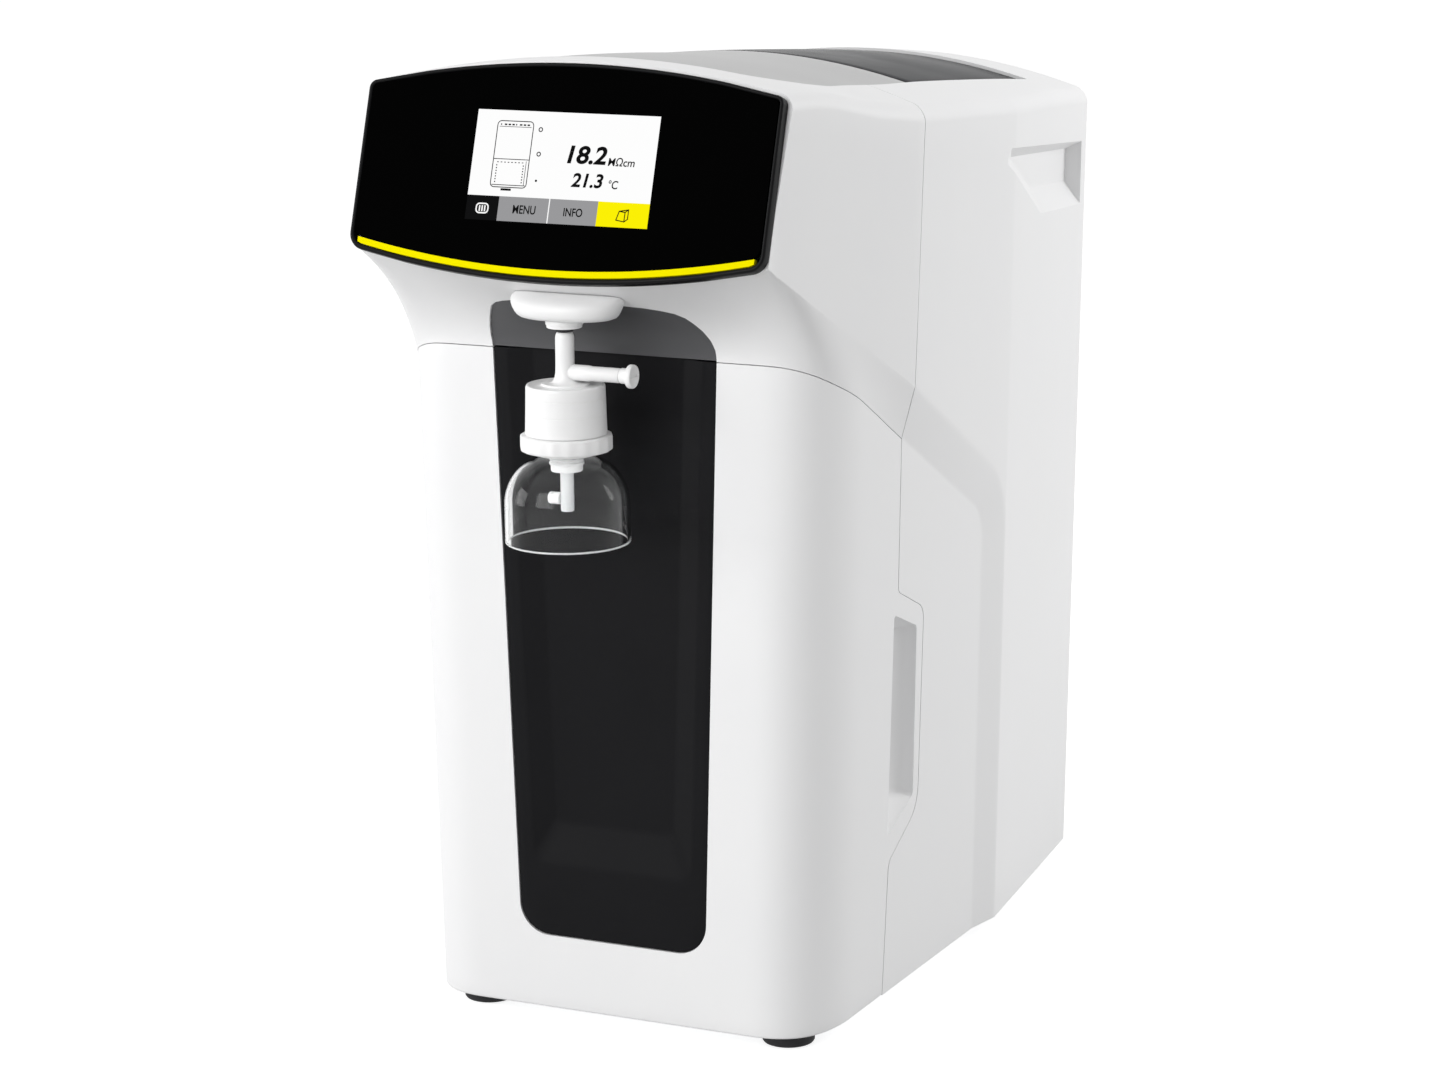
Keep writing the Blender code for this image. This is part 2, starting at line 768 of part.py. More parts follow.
ACROSS = OUTER_HALF_MIDDLE * 2
ABOVE = max(z for y, z in TOP_RIDGE_POINTS) + OVERRUN * 4
BEFORE = -NECK_REACH - OVERRUN * 4
BEHIND = REAR_FACE_Y + OVERRUN * 2

skin_mesh = casing_mesh(0)
hollow_mesh = casing_mesh(WALL)


def hollow(name):
    return cutter(name, hollow_mesh.copy())


# Seams between the three casing shells, in depth and height

SEAM_KNEE_Z = CREASE_Z_AT_FRONT - CREASE_SLOPE * SEAM_Y
LOWER_SEAM = [
    (JOG_BOTTOM_Y, SHELL_BOTTOM - OVERRUN),
    (JOG_LOWER_Y, JOG_LOWER_Z),
    (JOG_KNEE_Y, JOG_KNEE_Z),
    (JOG_REAR_LOW_Y, JOG_REAR_LOW_Z),
    (JOG_REAR_HIGH_Y, JOG_REAR_HIGH_Z),
    (JOG_SHOULDER_Y, JOG_SHOULDER_Z),
    (SEAM_Y, JOG_TOP_Z),
]
UPPER_SEAM = [(SEAM_Y, SEAM_KNEE_Z), (SEAM_Y + SEAM_TOP_LEAN, ABOVE)]


def cover_region():
    back = [(y - SEAM_GAP, z) for y, z in LOWER_SEAM]
    top = [
        (SEAM_Y - SEAM_GAP, seam_z(SEAM_Y) - SEAM_GAP),
        (NECK_SEAM_SETBACK, NECK_SEAM_Z - SEAM_GAP),
        (-OVERRUN, NECK_SEAM_Z - SEAM_GAP),
    ]
    return back + top + [(-OVERRUN, SHELL_BOTTOM - OVERRUN)]


def head_region():
    return [
        (BEFORE, NECK_SEAM_Z),
        (NECK_SEAM_SETBACK, NECK_SEAM_Z),
        (SEAM_Y - SEAM_GAP, seam_z(SEAM_Y)),
        (SEAM_Y - SEAM_GAP, SEAM_KNEE_Z),
        (SEAM_Y + SEAM_TOP_LEAN - SEAM_GAP, ABOVE),
        (BEFORE, ABOVE),
    ]


def rear_region():
    outer = [(BEHIND, ABOVE), (BEHIND, SHELL_BOTTOM - OVERRUN)]
    return LOWER_SEAM + UPPER_SEAM + outer


cover_block = cutter("cover_block", slab_mesh(cover_region(), ACROSS, SIDE_VIEW))
head_block = cutter("head_block", slab_mesh(head_region(), ACROSS, SIDE_VIEW))
rear_block = cutter("rear_block", slab_mesh(rear_region(), ACROSS, SIDE_VIEW))


# Display frame: X across, Y up the slope, Z out of the glass

tilt_matrix = (Matrix.Translation((0, DISPLAY_BOTTOM_Y, DISPLAY_BOTTOM_Z))
               @ Matrix.Rotation(math.pi / 2 - DISPLAY_TILT, 4, "X"))


def bow(x, sag):
    return sag * (x / DISPLAY_HALF_WIDTH) ** 2


def rounded_corner(corner, start, end, radius, steps=4):
    """Arc that joins two edges, starting towards one point and ending towards another."""
    corner = Vector(corner)
    u = (Vector(start) - corner).normalized()
    v = (Vector(end) - corner).normalized()
    half = u.angle(v) / 2
    reach = radius / math.tan(half)
    centre = corner + (u + v).normalized() * (radius / math.sin(half))
    first = corner + u * reach - centre
    last = corner + v * reach - centre
    sweep = first.angle_signed(last)
    points = []
    for i in range(steps + 1):
        angle = -sweep * i / steps
        points.append(tuple(centre + Matrix.Rotation(angle, 2) @ first))
    return points


def display_outline(inset, bottom_rise, top_rise, steps=7):
    """Outline of the display: bowed bottom and top edges with rounded corners."""
    half = DISPLAY_HALF_WIDTH - inset
    lower = []
    upper = []
    for i in range(1, steps):
        x = half * (2 * i / steps - 1)
        lower.append((x, bow(x, DISPLAY_BOTTOM_SAG) + bottom_rise))
        upper.append((-x, DISPLAY_HEIGHT - bow(x, DISPLAY_TOP_SAG) - top_rise))
    low = bow(half, DISPLAY_BOTTOM_SAG) + bottom_rise
    high = DISPLAY_HEIGHT - bow(half, DISPLAY_TOP_SAG) - top_rise
    bottom_radius = max(DISPLAY_BOTTOM_CORNER - inset, BEZEL_RIM)
    top_radius = max(DISPLAY_TOP_CORNER - inset, BEZEL_RIM)
    right_low = rounded_corner((half, low), lower[-1], (half, high), bottom_radius)
    right_high = rounded_corner((half, high), (half, low), upper[0], top_radius)
    left_high = rounded_corner((-half, high), upper[-1], (-half, low), top_radius)
    left_low = rounded_corner((-half, low), (-half, high), lower[0], bottom_radius)
    return lower + right_low + right_high + upper + left_high + left_low


def tilted(outline, back, front):
    depth = (front - back) / 2
    return slab_mesh(outline, depth, tilt_matrix @ Matrix.Translation((0, 0, (front + back) / 2)))


# Casing shells


def side_pocket(name, opening, floor, depth, width_of):
    """Pocket pressed into a side wall: an opening outline and a smaller floor outline."""
    tools = []
    for side in (1, -1):
        mouth = [(side * (width_of(y, z) + OVERRUN), y, z) for y, z in opening]
        base = [(side * (width_of(y, z) - depth), y, z) for y, z in floor]
        tools.append(cutter(name, loft_mesh([mouth, base])))
    return tools


def grown(outline, distance):
    """The same outline moved outwards from its middle by a wall."""
    cy = sum(y for y, z in outline) / len(outline)
    cz = sum(z for y, z in outline) / len(outline)
    points = []
    for y, z in outline:
        away = Vector((y - cy, z - cz))
        away = away.normalized() * distance
        points.append((y + away.x, z + away.y))
    return points


GRIP_OPENING = [
    (GRIP_FRONT_Y, GRIP_TOP_FRONT_Z),
    (GRIP_REAR_Y, GRIP_TOP_REAR_Z),
    (GRIP_REAR_Y, GRIP_BOTTOM_REAR_Z),
    (GRIP_TIP_Y, GRIP_BOTTOM_FRONT_Z),
]
GRIP_FLOOR = [
    (GRIP_FRONT_Y, GRIP_FLOOR_TOP_Z),
    (GRIP_FLOOR_REAR_Y, GRIP_FLOOR_TOP_Z),
    (GRIP_FLOOR_REAR_Y, GRIP_FLOOR_BOTTOM_Z),
    (GRIP_FRONT_Y, GRIP_FLOOR_BOTTOM_Z),
]
CARRY_OPENING = [
    (CARRY_TOP_FRONT_Y, CARRY_TOP_FRONT_Z),
    (CARRY_REAR_Y, CARRY_TOP_REAR_Z),
    (CARRY_REAR_Y, CARRY_BOTTOM_REAR_Z),
    (CARRY_BOTTOM_Y, CARRY_BOTTOM_Z),
    (CARRY_FRONT_Y, CARRY_SIDE_FRONT_Z),
]
CARRY_FLOOR = [
    (CARRY_FLOOR_FRONT_Y, CARRY_FLOOR_TOP_FRONT_Z),
    (CARRY_REAR_Y, CARRY_FLOOR_TOP_REAR_Z),
    (CARRY_REAR_Y, CARRY_FLOOR_BOTTOM_REAR_Z),
    (CARRY_FLOOR_BOTTOM_Y, CARRY_FLOOR_BOTTOM_Z),
    (CARRY_FLOOR_FRONT_Y, CARRY_FLOOR_TOP_FRONT_Z - GRIP_DEPTH / 8),
]

grip_pockets = side_pocket("grip_pocket", GRIP_OPENING, GRIP_FLOOR, GRIP_DEPTH, inner_half)
grip_blocks = side_pocket("grip_block", grown(GRIP_OPENING, WALL), grown(GRIP_FLOOR, WALL),
                          GRIP_DEPTH + WALL, inner_half)
carry_pockets = side_pocket("carry_pocket", CARRY_OPENING, CARRY_FLOOR, CARRY_DEPTH, outer_half)
carry_blocks = side_pocket("carry_block", grown(CARRY_OPENING, WALL), grown(CARRY_FLOOR, WALL),
                           CARRY_DEPTH + WALL, outer_half)


def inlay_outline(shrink):
    """Black inlay, seen from the front: wider at the top, rounded at the bottom."""
    low = INLAY_BOTTOM_Z + shrink
    high = NECK_SEAM_Z + OVERRUN
    bottom = INLAY_BOTTOM_HALF - shrink
    slope = (INLAY_TOP_HALF - INLAY_BOTTOM_HALF) / (NECK_SEAM_Z - INLAY_BOTTOM_Z)
    top = bottom + slope * (high - low)
    radius = INLAY_CORNER - shrink
    right = rounded_corner((bottom, low), (-bottom, low), (top, high), radius, 5)
    left = rounded_corner((-bottom, low), (-top, high), (bottom, low), radius, 5)
    return left + right + [(top, high), (-top, high)]


inlay_hole = cutter("inlay_hole", slab_mesh(inlay_outline(0), WALL * 2, FRONT_VIEW))

cover_hollow = hollow("cover_hollow")
for block in grip_blocks:
    cut(cover_hollow, block)
front_cover = place("front_cover", skin_mesh.copy(), WHITE, 0.35)
keep_inside(front_cover, cover_block)
cut(front_cover, cover_hollow)
for pocket in grip_pockets:
    cut(front_cover, pocket)
cut(front_cover, inlay_hole)


# Front inlay with its sunk channel


def channel_ring(depth, half_top, half_bottom, bottom):
    top = NECK_SEAM_Z + OVERRUN
    return [(-half_top, depth, top), (half_top, depth, top),
            (half_bottom, depth, bottom), (-half_bottom, depth, bottom)]


def channel_mesh(back, lead):
    """Sunk channel, or the same form pushed back by the sheet's thickness."""
    slope_out = (CHANNEL_TOP_HALF - CHANNEL_FLOOR_TOP_HALF) / CHANNEL_DEPTH
    rise_out = (CHANNEL_FLOOR_BOTTOM_Z - CHANNEL_BOTTOM_Z) / CHANNEL_DEPTH
    mouth = channel_ring(back - lead, CHANNEL_TOP_HALF + slope_out * lead,
                         CHANNEL_BOTTOM_HALF + slope_out * lead,
                         CHANNEL_BOTTOM_Z - rise_out * lead)
    base = channel_ring(back + CHANNEL_DEPTH, CHANNEL_FLOOR_TOP_HALF,
                        CHANNEL_FLOOR_BOTTOM_HALF, CHANNEL_FLOOR_BOTTOM_Z)
    return loft_mesh([mouth, base])


front_inlay = place("front_inlay", slab_mesh(
    inlay_outline(GAP), INLAY_THICKNESS / 2,
    Matrix.Translation((0, INLAY_SETBACK + INLAY_THICKNESS / 2, 0)) @ FRONT_VIEW), BLACK, 0.3)
channel_back = cutter("channel_back", channel_mesh(
    INLAY_SETBACK + INLAY_THICKNESS, INLAY_THICKNESS / 2))
channel_front = cutter("channel_front", channel_mesh(INLAY_SETBACK, OVERRUN))
join(front_inlay, channel_back)
cut(front_inlay, channel_front)
keep_inside(front_inlay, cover_block)


# Head shell

display_gap = BEZEL_DEPTH + GAP
display_room = cutter("display_room", box_mesh(
    (ACROSS * 2, DISPLAY_HEIGHT * 3, DISPLAY_HEIGHT * 2), (0, 0, DISPLAY_HEIGHT - display_gap)))
display_room.data.transform(tilt_matrix)


def arch_outline(shrink, low):
    """Dark arch above the inlay, seen from the front."""
    bottom = INLAY_TOP_HALF - shrink
    side = (HEAD_INLAY_SIDE_HALF - shrink, HEAD_INLAY_SIDE_Z)
    top = (HEAD_INLAY_TOP_HALF - shrink, HEAD_INLAY_TOP_Z - shrink)
    right = [(bottom, low), (bottom, NECK_SEAM_Z + GAP * 2), side, top]
    return right + [(-x, z) for x, z in reversed(right)]


arch_hole = cutter("arch_hole", slab_mesh(
    arch_outline(0, NECK_SEAM_Z - OVERRUN), NECK_REACH / 2,
    Matrix.Translation((0, HEAD_INLAY_DEPTH - NECK_REACH / 2, 0)) @ FRONT_VIEW))
arch_block = cutter("arch_block", slab_mesh(
    grown(arch_outline(0, NECK_SEAM_Z - OVERRUN), WALL), NECK_REACH / 2 + WALL,
    Matrix.Translation((0, HEAD_INLAY_DEPTH - NECK_REACH / 2, 0)) @ FRONT_VIEW))


def lid_outline(shrink, start, end, rounded):
    half = LID_HALF_WIDTH - shrink
    if rounded:
        left = rounded_corner((-half, start), (-half, end), (half, start), LID_FRONT_CORNER, 6)
        right = rounded_corner((half, start), (-half, start), (half, end), LID_FRONT_CORNER, 6)
    else:
        left = [(-half, start)]
        right = [(half, start)]
    return left + right + [(half, end), (-half, end)]


LID_LOW_Z = ridge_z(REAR_FACE_Y) - arch_drop(REAR_FACE_Y, LID_HALF_WIDTH) - HINGE_BRACKET_LENGTH
LID_BLOCK = Matrix.Translation((0, 0, (ABOVE + LID_LOW_Z) / 2))
lid_hole = cutter("lid_hole", slab_mesh(
    lid_outline(0, LID_FRONT_Y, LID_REAR_Y, True), (ABOVE - LID_LOW_Z) / 2, LID_BLOCK))

head_hollow = hollow("head_hollow")
cut(head_hollow, arch_block)
head_shell = place("head_shell", skin_mesh.copy(), WHITE, 0.35)
keep_inside(head_shell, head_block)
cut(head_shell, display_room)
cut(head_shell, head_hollow)
cut(head_shell, arch_hole)
cut(head_shell, lid_hole)

head_inlay = place("head_inlay", skin_mesh.copy(), DARK, 0.3)
arch_fill = cutter("arch_fill", slab_mesh(
    arch_outline(GAP, NECK_SEAM_Z + GAP), HEAD_INLAY_THICKNESS / 2,
    Matrix.Translation((0, HEAD_INLAY_DEPTH - GAP - HEAD_INLAY_THICKNESS / 2, 0)) @ FRONT_VIEW))
keep_inside(head_inlay, arch_fill)


# Rear shell

rear_hollow = hollow("rear_hollow")
for block in carry_blocks:
    cut(rear_hollow, block)
rear_shell = place("rear_shell", skin_mesh.copy(), WHITE, 0.35)
keep_inside(rear_shell, rear_block)
cut(rear_shell, rear_hollow)
for pocket in carry_pockets:
    cut(rear_shell, pocket)
cut(rear_shell, lid_hole)


# Top panels follow the arch a little below it

lid_skin = casing_mesh(LID_SETBACK)
lid_hollow = cutter("lid_hollow", casing_mesh(LID_SETBACK + WALL))
window_block = cutter("window_block", slab_mesh(
    lid_outline(SEAM_GAP, LID_FRONT_Y + SEAM_GAP, LID_SPLIT_Y - SEAM_GAP, True),
    (ABOVE - LID_LOW_Z) / 2, LID_BLOCK))
lid_block = cutter("lid_block", slab_mesh(
    lid_outline(SEAM_GAP, LID_SPLIT_Y, LID_REAR_Y - LID_REAR_GAP, False),
    (ABOVE - LID_LOW_Z) / 2, LID_BLOCK))
top_window = place("top_window", lid_skin.copy(), GREY, 0.25)
keep_inside(top_window, window_block)
cut(top_window, lid_hollow)

lid_rear_edge = LID_REAR_Y - LID_REAR_GAP
HINGE_Y = lid_rear_edge - HINGE_INSET
HINGE_Z = ridge_z(lid_rear_edge) - LID_SETBACK - HINGE_DROP
hinge = bpy.data.objects.new("lid_hinge_axis", None)
hinge.location = (0, HINGE_Y, HINGE_Z)
hinge.parent = middle
parts.objects.link(hinge)

top_lid = place("top_lid", lid_skin.copy(), DARK, 0.25, at=(0, -HINGE_Y, -HINGE_Z), parent=hinge)
keep_inside(top_lid, lid_block)
cut(top_lid, lid_hollow)
lug_radius = HINGE_PIN_RADIUS + HINGE_LUG_REACH / 2
for side in (1, -1):
    lug_near = HINGE_BRACKET_HALF + SEAM_GAP
    lug_low = (side * lug_near, HINGE_Y - lug_radius, HINGE_Z - lug_radius)
    lug_high = (side * (lug_near + HINGE_LUG_WIDTH), HINGE_Y + lug_radius,
                HINGE_Z + HINGE_DROP - WALL / 2)
    low = [min(a, b) for a, b in zip(lug_low, lug_high)]
    high = [max(a, b) for a, b in zip(lug_low, lug_high)]
    lug = cutter("lid_lug", span_mesh(low, high), at=(0, -HINGE_Y, -HINGE_Z), parent=hinge)
    join(top_lid, lug)
pin_half = HINGE_BRACKET_HALF + SEAM_GAP + HINGE_LUG_WIDTH + GAP
bore = cutter("hinge_bore", rod_mesh(
    HINGE_PIN_RADIUS + HINGE_BORE_CLEARANCE, -pin_half * 2, pin_half * 2, "X", SMALL_ROUND_STEPS),
    parent=hinge)
cut(top_lid, bore)

hinge_pin = place("hinge_pin", rod_mesh(
    HINGE_PIN_RADIUS, -pin_half, pin_half, "X", SMALL_ROUND_STEPS), STEEL, 0.25, 1.0, parent=hinge)
shade(hinge_pin)

# The bracket goes down outside the lid's swing, and its head is round about the pin
HINGE_ROUND_STEPS = 8
bracket_end = HINGE_Y + HINGE_BRACKET_LENGTH
bracket_top = ridge_z(bracket_end) - WALL - SEAM_GAP - GAP
bracket_top -= arch_drop(LID_REAR_Y, HINGE_BRACKET_HALF)
swing = math.hypot(HINGE_INSET, HINGE_DROP) + HINGE_SWING_ROOM
bracket_floor = HINGE_Z - swing - HINGE_BRACKET_THICKNESS
bracket_side = [
    (HINGE_Y - lug_radius, bracket_floor),
    (bracket_end, bracket_floor),
    (bracket_end, bracket_top),
    (HINGE_Y + swing, bracket_top),
    (HINGE_Y + swing, bracket_floor + HINGE_BRACKET_THICKNESS),
    (HINGE_Y + lug_radius, bracket_floor + HINGE_BRACKET_THICKNESS),
]
for i in range(HINGE_ROUND_STEPS + 1):
    angle = math.pi * i / HINGE_ROUND_STEPS
    bracket_side.append((HINGE_Y + lug_radius * math.cos(angle),
                         HINGE_Z + lug_radius * math.sin(angle)))
hinge_bracket = place("hinge_bracket", slab_mesh(
    bracket_side, HINGE_BRACKET_HALF, SIDE_VIEW), STEEL, 0.4, 1.0)
cut(hinge_bracket, bore)


# Display: dark frame, yellow strip, black glass, screen module and its board

glass_low = BEZEL_BOTTOM_RIM + STRIP_HEIGHT
pocket_floor = BEZEL_BACK - BEZEL_DEPTH
screen_half = SCREEN_WIDTH / 2
module_half = screen_half + LCD_FLANGE
screen_top = SCREEN_BOTTOM + SCREEN_HEIGHT


def tilted_span(low, high):
    mesh = span_mesh(low, high)
    mesh.transform(tilt_matrix)
    return mesh


display_bezel = place("display_bezel", tilted(display_outline(0, 0, 0), -BEZEL_DEPTH, 0),
                      DARK, 0.35)
bezel_pocket = cutter("bezel_pocket", tilted(
    display_outline(BEZEL_RIM, BEZEL_BOTTOM_RIM, BEZEL_RIM), pocket_floor, OVERRUN))
bezel_window = cutter("bezel_window", tilted_span(
    (-module_half - GAP, SCREEN_BOTTOM - LCD_FLANGE - GAP, -BEZEL_DEPTH - OVERRUN),
    (module_half + GAP, screen_top + LCD_FLANGE + GAP, OVERRUN)))
cut(display_bezel, bezel_pocket)
cut(display_bezel, bezel_window)

accent_strip = place("accent_strip", tilted(
    display_outline(BEZEL_RIM + GAP, BEZEL_BOTTOM_RIM + GAP, BEZEL_RIM),
    pocket_floor + GAP, -GLASS_SETBACK), YELLOW, 0.3)
strip_trim = cutter("strip_trim", tilted(
    display_outline(0, glass_low, -OVERRUN), -BEZEL_DEPTH - OVERRUN, OVERRUN))
strip_wide = cutter("strip_wide", tilted_span(
    (-ACROSS, DISPLAY_BOTTOM_SAG + glass_low + BEZEL_RIM, -BEZEL_DEPTH - OVERRUN),
    (ACROSS, DISPLAY_HEIGHT + OVERRUN, OVERRUN)))
cut(accent_strip, strip_trim)
cut(accent_strip, strip_wide)

display_glass = place("display_glass", tilted(
    display_outline(BEZEL_RIM + GAP, glass_low + GAP, BEZEL_RIM + GAP),
    pocket_floor + GAP, -GLASS_SETBACK), BLACK, 0.08)
glass_window = cutter("glass_window", tilted_span(
    (-screen_half - GAP, SCREEN_BOTTOM - GAP, -BEZEL_DEPTH - OVERRUN),
    (screen_half + GAP, screen_top + GAP, OVERRUN)))
cut(display_glass, glass_window)

lcd_module = place("lcd_module", tilted_span(
    (-module_half, SCREEN_BOTTOM - LCD_FLANGE, -BEZEL_DEPTH),
    (module_half, screen_top + LCD_FLANGE, pocket_floor)), SOFT_WHITE, 0.3)
screen_step = cutter("screen_step", tilted_span(
    (-screen_half, SCREEN_BOTTOM, pocket_floor - GAP),
    (screen_half, screen_top, -GLASS_SETBACK - LCD_SCREEN_SETBACK)))
join(lcd_module, screen_step)

board_middle = SCREEN_BOTTOM + SCREEN_HEIGHT / 2
display_board = place("display_board", tilted_span(
    (-DISPLAY_BOARD_WIDTH / 2, board_middle - DISPLAY_BOARD_HEIGHT / 2,
     -BEZEL_DEPTH - GAP - BOARD_THICKNESS),
    (DISPLAY_BOARD_WIDTH / 2, board_middle + DISPLAY_BOARD_HEIGHT / 2, -BEZEL_DEPTH - GAP)),
    GREEN, 0.5)


# Dispensing nozzle

nozzle = bpy.data.objects.new("nozzle_axis", None)
nozzle.location = (0, NOZZLE_Y, 0)
nozzle.parent = middle
parts.objects.link(nozzle)

pad_outline = []
for side in (1, -1):
    for i in range(PAD_END_STEPS + 1):
        angle = side * (math.pi * i / PAD_END_STEPS - math.pi / 2)
        x = side * (PAD_LENGTH - PAD_DEPTH) / 2 + math.cos(angle) * PAD_DEPTH / 2 * side
        pad_outline.append((x, math.sin(angle) * PAD_DEPTH / 2 * side * side))


def pad_ring(z, shrink):
    return [(x * (1 - 2 * shrink / PAD_LENGTH), y * (1 - 2 * shrink / PAD_DEPTH), z)
            for x, y in pad_outline]


pad_rings = [pad_ring(PAD_BOTTOM_Z + PAD_BEVEL * rise, PAD_BOTTOM_TAPER + PAD_BEVEL * draw)
             for rise, draw in PAD_EDGE_SHARES]
pad_rings.append(pad_ring(PAD_TOP_Z + PAD_BEVEL, 0))
dispense_pad = place("dispense_pad", loft_mesh(pad_rings), WHITE, 0.35, parent=nozzle)
neck_room = cutter("neck_room", skin_mesh.copy(), at=(0, -PAD_NECK_GAP, -PAD_NECK_GAP))
cut(dispense_pad, neck_room)

collar_low = PAD_BOTTOM_Z - GAP - COLLAR_HEIGHT
outlet_collar = place("outlet_collar", rod_mesh(
    COLLAR_RADIUS, collar_low, PAD_BOTTOM_Z - GAP), WHITE, 0.35, parent=nozzle)
bevel(outlet_collar, COLLAR_BEVEL)
nipple = cutter("nipple", rod_mesh(
    NIPPLE_RADIUS, collar_low - NIPPLE_LENGTH, collar_low + COLLAR_BEVEL, steps=SMALL_ROUND_STEPS),
    parent=nozzle)
nipple_bore = cutter("nipple_bore", rod_mesh(
    NIPPLE_BORE_RADIUS, collar_low - NIPPLE_LENGTH - OVERRUN, collar_low,
    steps=SMALL_ROUND_STEPS), parent=nozzle)
join(outlet_collar, nipple)
cut(outlet_collar, nipple_bore)

ring_middle = collar_low - GAP - O_RING_RADIUS
RING_SIDES = 8
o_ring = place("o_ring", turned_mesh([
    (NIPPLE_RADIUS + GAP + O_RING_RADIUS - O_RING_RADIUS * math.cos(math.tau * i / RING_SIDES),
     ring_middle + O_RING_RADIUS * math.sin(math.tau * i / RING_SIDES))
    for i in range(RING_SIDES + 1)]), BLACK, 0.6, parent=nozzle)
turn(o_ring, SMALL_ROUND_STEPS)

capsule = bpy.data.objects.new("capsule_axis", None)
capsule.location = (0, 0, CAPSULE_TOP_Z)
capsule.parent = nozzle
parts.objects.link(capsule)

stem_top = ring_middle - O_RING_RADIUS - GAP - CAPSULE_TOP_Z
stem_bore = NIPPLE_RADIUS + STEM_BORE_CLEARANCE
capsule_base_z = -CAPSULE_HEIGHT
capsule_body = place("capsule_body", turned_mesh([
    (0, stem_top - STEM_BORE_DEPTH),
    (stem_bore, stem_top - STEM_BORE_DEPTH),
    (stem_bore, stem_top),
    (STEM_TOP_RADIUS - GAP, stem_top),
    (STEM_TOP_RADIUS, stem_top - GAP * 2),
    (STEM_RADIUS, CAPSULE_DISC_HEIGHT + GAP * 3),
    (STEM_RADIUS + GAP * 3, CAPSULE_DISC_HEIGHT),
    (CAPSULE_DISC_RADIUS, CAPSULE_DISC_HEIGHT),
    (CAPSULE_DISC_RADIUS, 0),
    (CAPSULE_RADIUS - CAPSULE_BEVEL, 0),
    (CAPSULE_RADIUS, -CAPSULE_BEVEL),
    (CAPSULE_BOTTOM_RADIUS, capsule_base_z + GAP),
    (0, capsule_base_z + GAP),
]), MILKY, 0.35, parent=capsule)
turn(capsule_body)

flange_low = capsule_base_z - FLANGE_HEIGHT
disc_low = flange_low - DISC_HEIGHT
neck_low = disc_low - NECK_HEIGHT
tube_low = neck_low - OUTLET_LENGTH
tube_seat = OUTLET_RADIUS + GAP
capsule_base = place("capsule_base", turned_mesh([
    (0, capsule_base_z),
    (FLANGE_RADIUS - FLANGE_BEVEL, capsule_base_z),
    (FLANGE_RADIUS, capsule_base_z - FLANGE_BEVEL),
    (FLANGE_RADIUS, flange_low + FLANGE_BEVEL),
    (FLANGE_RADIUS - FLANGE_BEVEL, flange_low),
    (DISC_RADIUS, flange_low),
    (DISC_RADIUS, disc_low),
    (NECK_RADIUS, disc_low),
    (NECK_RADIUS, (disc_low + neck_low) / 2),
    (NECK_STEP_RADIUS, (disc_low + neck_low) / 2),
    (NECK_STEP_RADIUS, neck_low),
    (tube_seat, neck_low),
    (tube_seat, disc_low - GAP),
    (0, disc_low - GAP),
]), MILKY, 0.35, parent=capsule)
turn(capsule_base)

outlet_tube = place("outlet_tube", turned_mesh([
    (OUTLET_BORE_RADIUS, disc_low - GAP * 2),
    (OUTLET_RADIUS, disc_low - GAP * 2),
    (OUTLET_RADIUS, tube_low + GAP),
    (OUTLET_RADIUS - GAP, tube_low),
    (OUTLET_BORE_RADIUS, tube_low),
    (OUTLET_BORE_RADIUS, disc_low - GAP * 2),
]), CLEAR, 0.2, clear=0.4, parent=capsule)
turn(outlet_tube, SMALL_ROUND_STEPS)
tip_cap = place("tip_cap", rod_mesh(
    TIP_CAP_RADIUS, -OUTLET_RADIUS - GAP - TIP_CAP_LENGTH, -OUTLET_RADIUS - GAP, "X",
    SMALL_ROUND_STEPS), WHITE, 0.4, at=(0, 0, tube_low + TIP_CAP_RISE), parent=capsule)
bevel(tip_cap, GAP, 1)

vent_port = place("vent_port", turned_mesh([
    (0, VENT_LENGTH + VENT_NECK_LENGTH),
    (VENT_NECK_RADIUS, VENT_LENGTH + VENT_NECK_LENGTH),
    (VENT_NECK_RADIUS, VENT_LENGTH),
    (VENT_TIP_RADIUS, VENT_LENGTH),
    (VENT_TIP_RADIUS, VENT_BARREL_LENGTH + GAP * 3),
    (VENT_ROOT_RADIUS, VENT_BARREL_LENGTH),
    (VENT_ROOT_RADIUS, STEM_RADIUS / 2),
    (0, STEM_RADIUS / 2),
]), MILKY, 0.35, at=(0, 0, VENT_AXIS_RISE), parent=capsule)
turn(vent_port, SMALL_ROUND_STEPS)
vent_port.rotation_euler = (0, math.pi / 2, 0)
stem_room = cutter("stem_room", rod_mesh(
    STEM_RADIUS + GAP, -CAPSULE_TOP_Z / 2, CAPSULE_TOP_Z / 2), parent=capsule)
cut(vent_port, stem_room)

knob_start = VENT_LENGTH + GAP
vent_knob = place("vent_knob", rod_mesh(
    KNOB_HUB_RADIUS, 0, KNOB_HUB_LENGTH + KNOB_DISC / 2, "X", SMALL_ROUND_STEPS),
    WHITE, 0.35, at=(knob_start, 0, VENT_AXIS_RISE), parent=capsule)
knob_disc = cutter("knob_disc", rod_mesh(
    KNOB_RADIUS, KNOB_HUB_LENGTH, KNOB_HUB_LENGTH + KNOB_DISC, "X"),
    at=(knob_start, 0, VENT_AXIS_RISE), parent=capsule)
knob_bore = cutter("knob_bore", rod_mesh(
    VENT_NECK_RADIUS + GAP, -OVERRUN, VENT_NECK_LENGTH + GAP, "X", SMALL_ROUND_STEPS),
    at=(knob_start, 0, VENT_AXIS_RISE), parent=capsule)
slot_half = KNOB_RADIUS * KNOB_SLOT_REACH_SHARE
knob_face = KNOB_HUB_LENGTH + KNOB_DISC
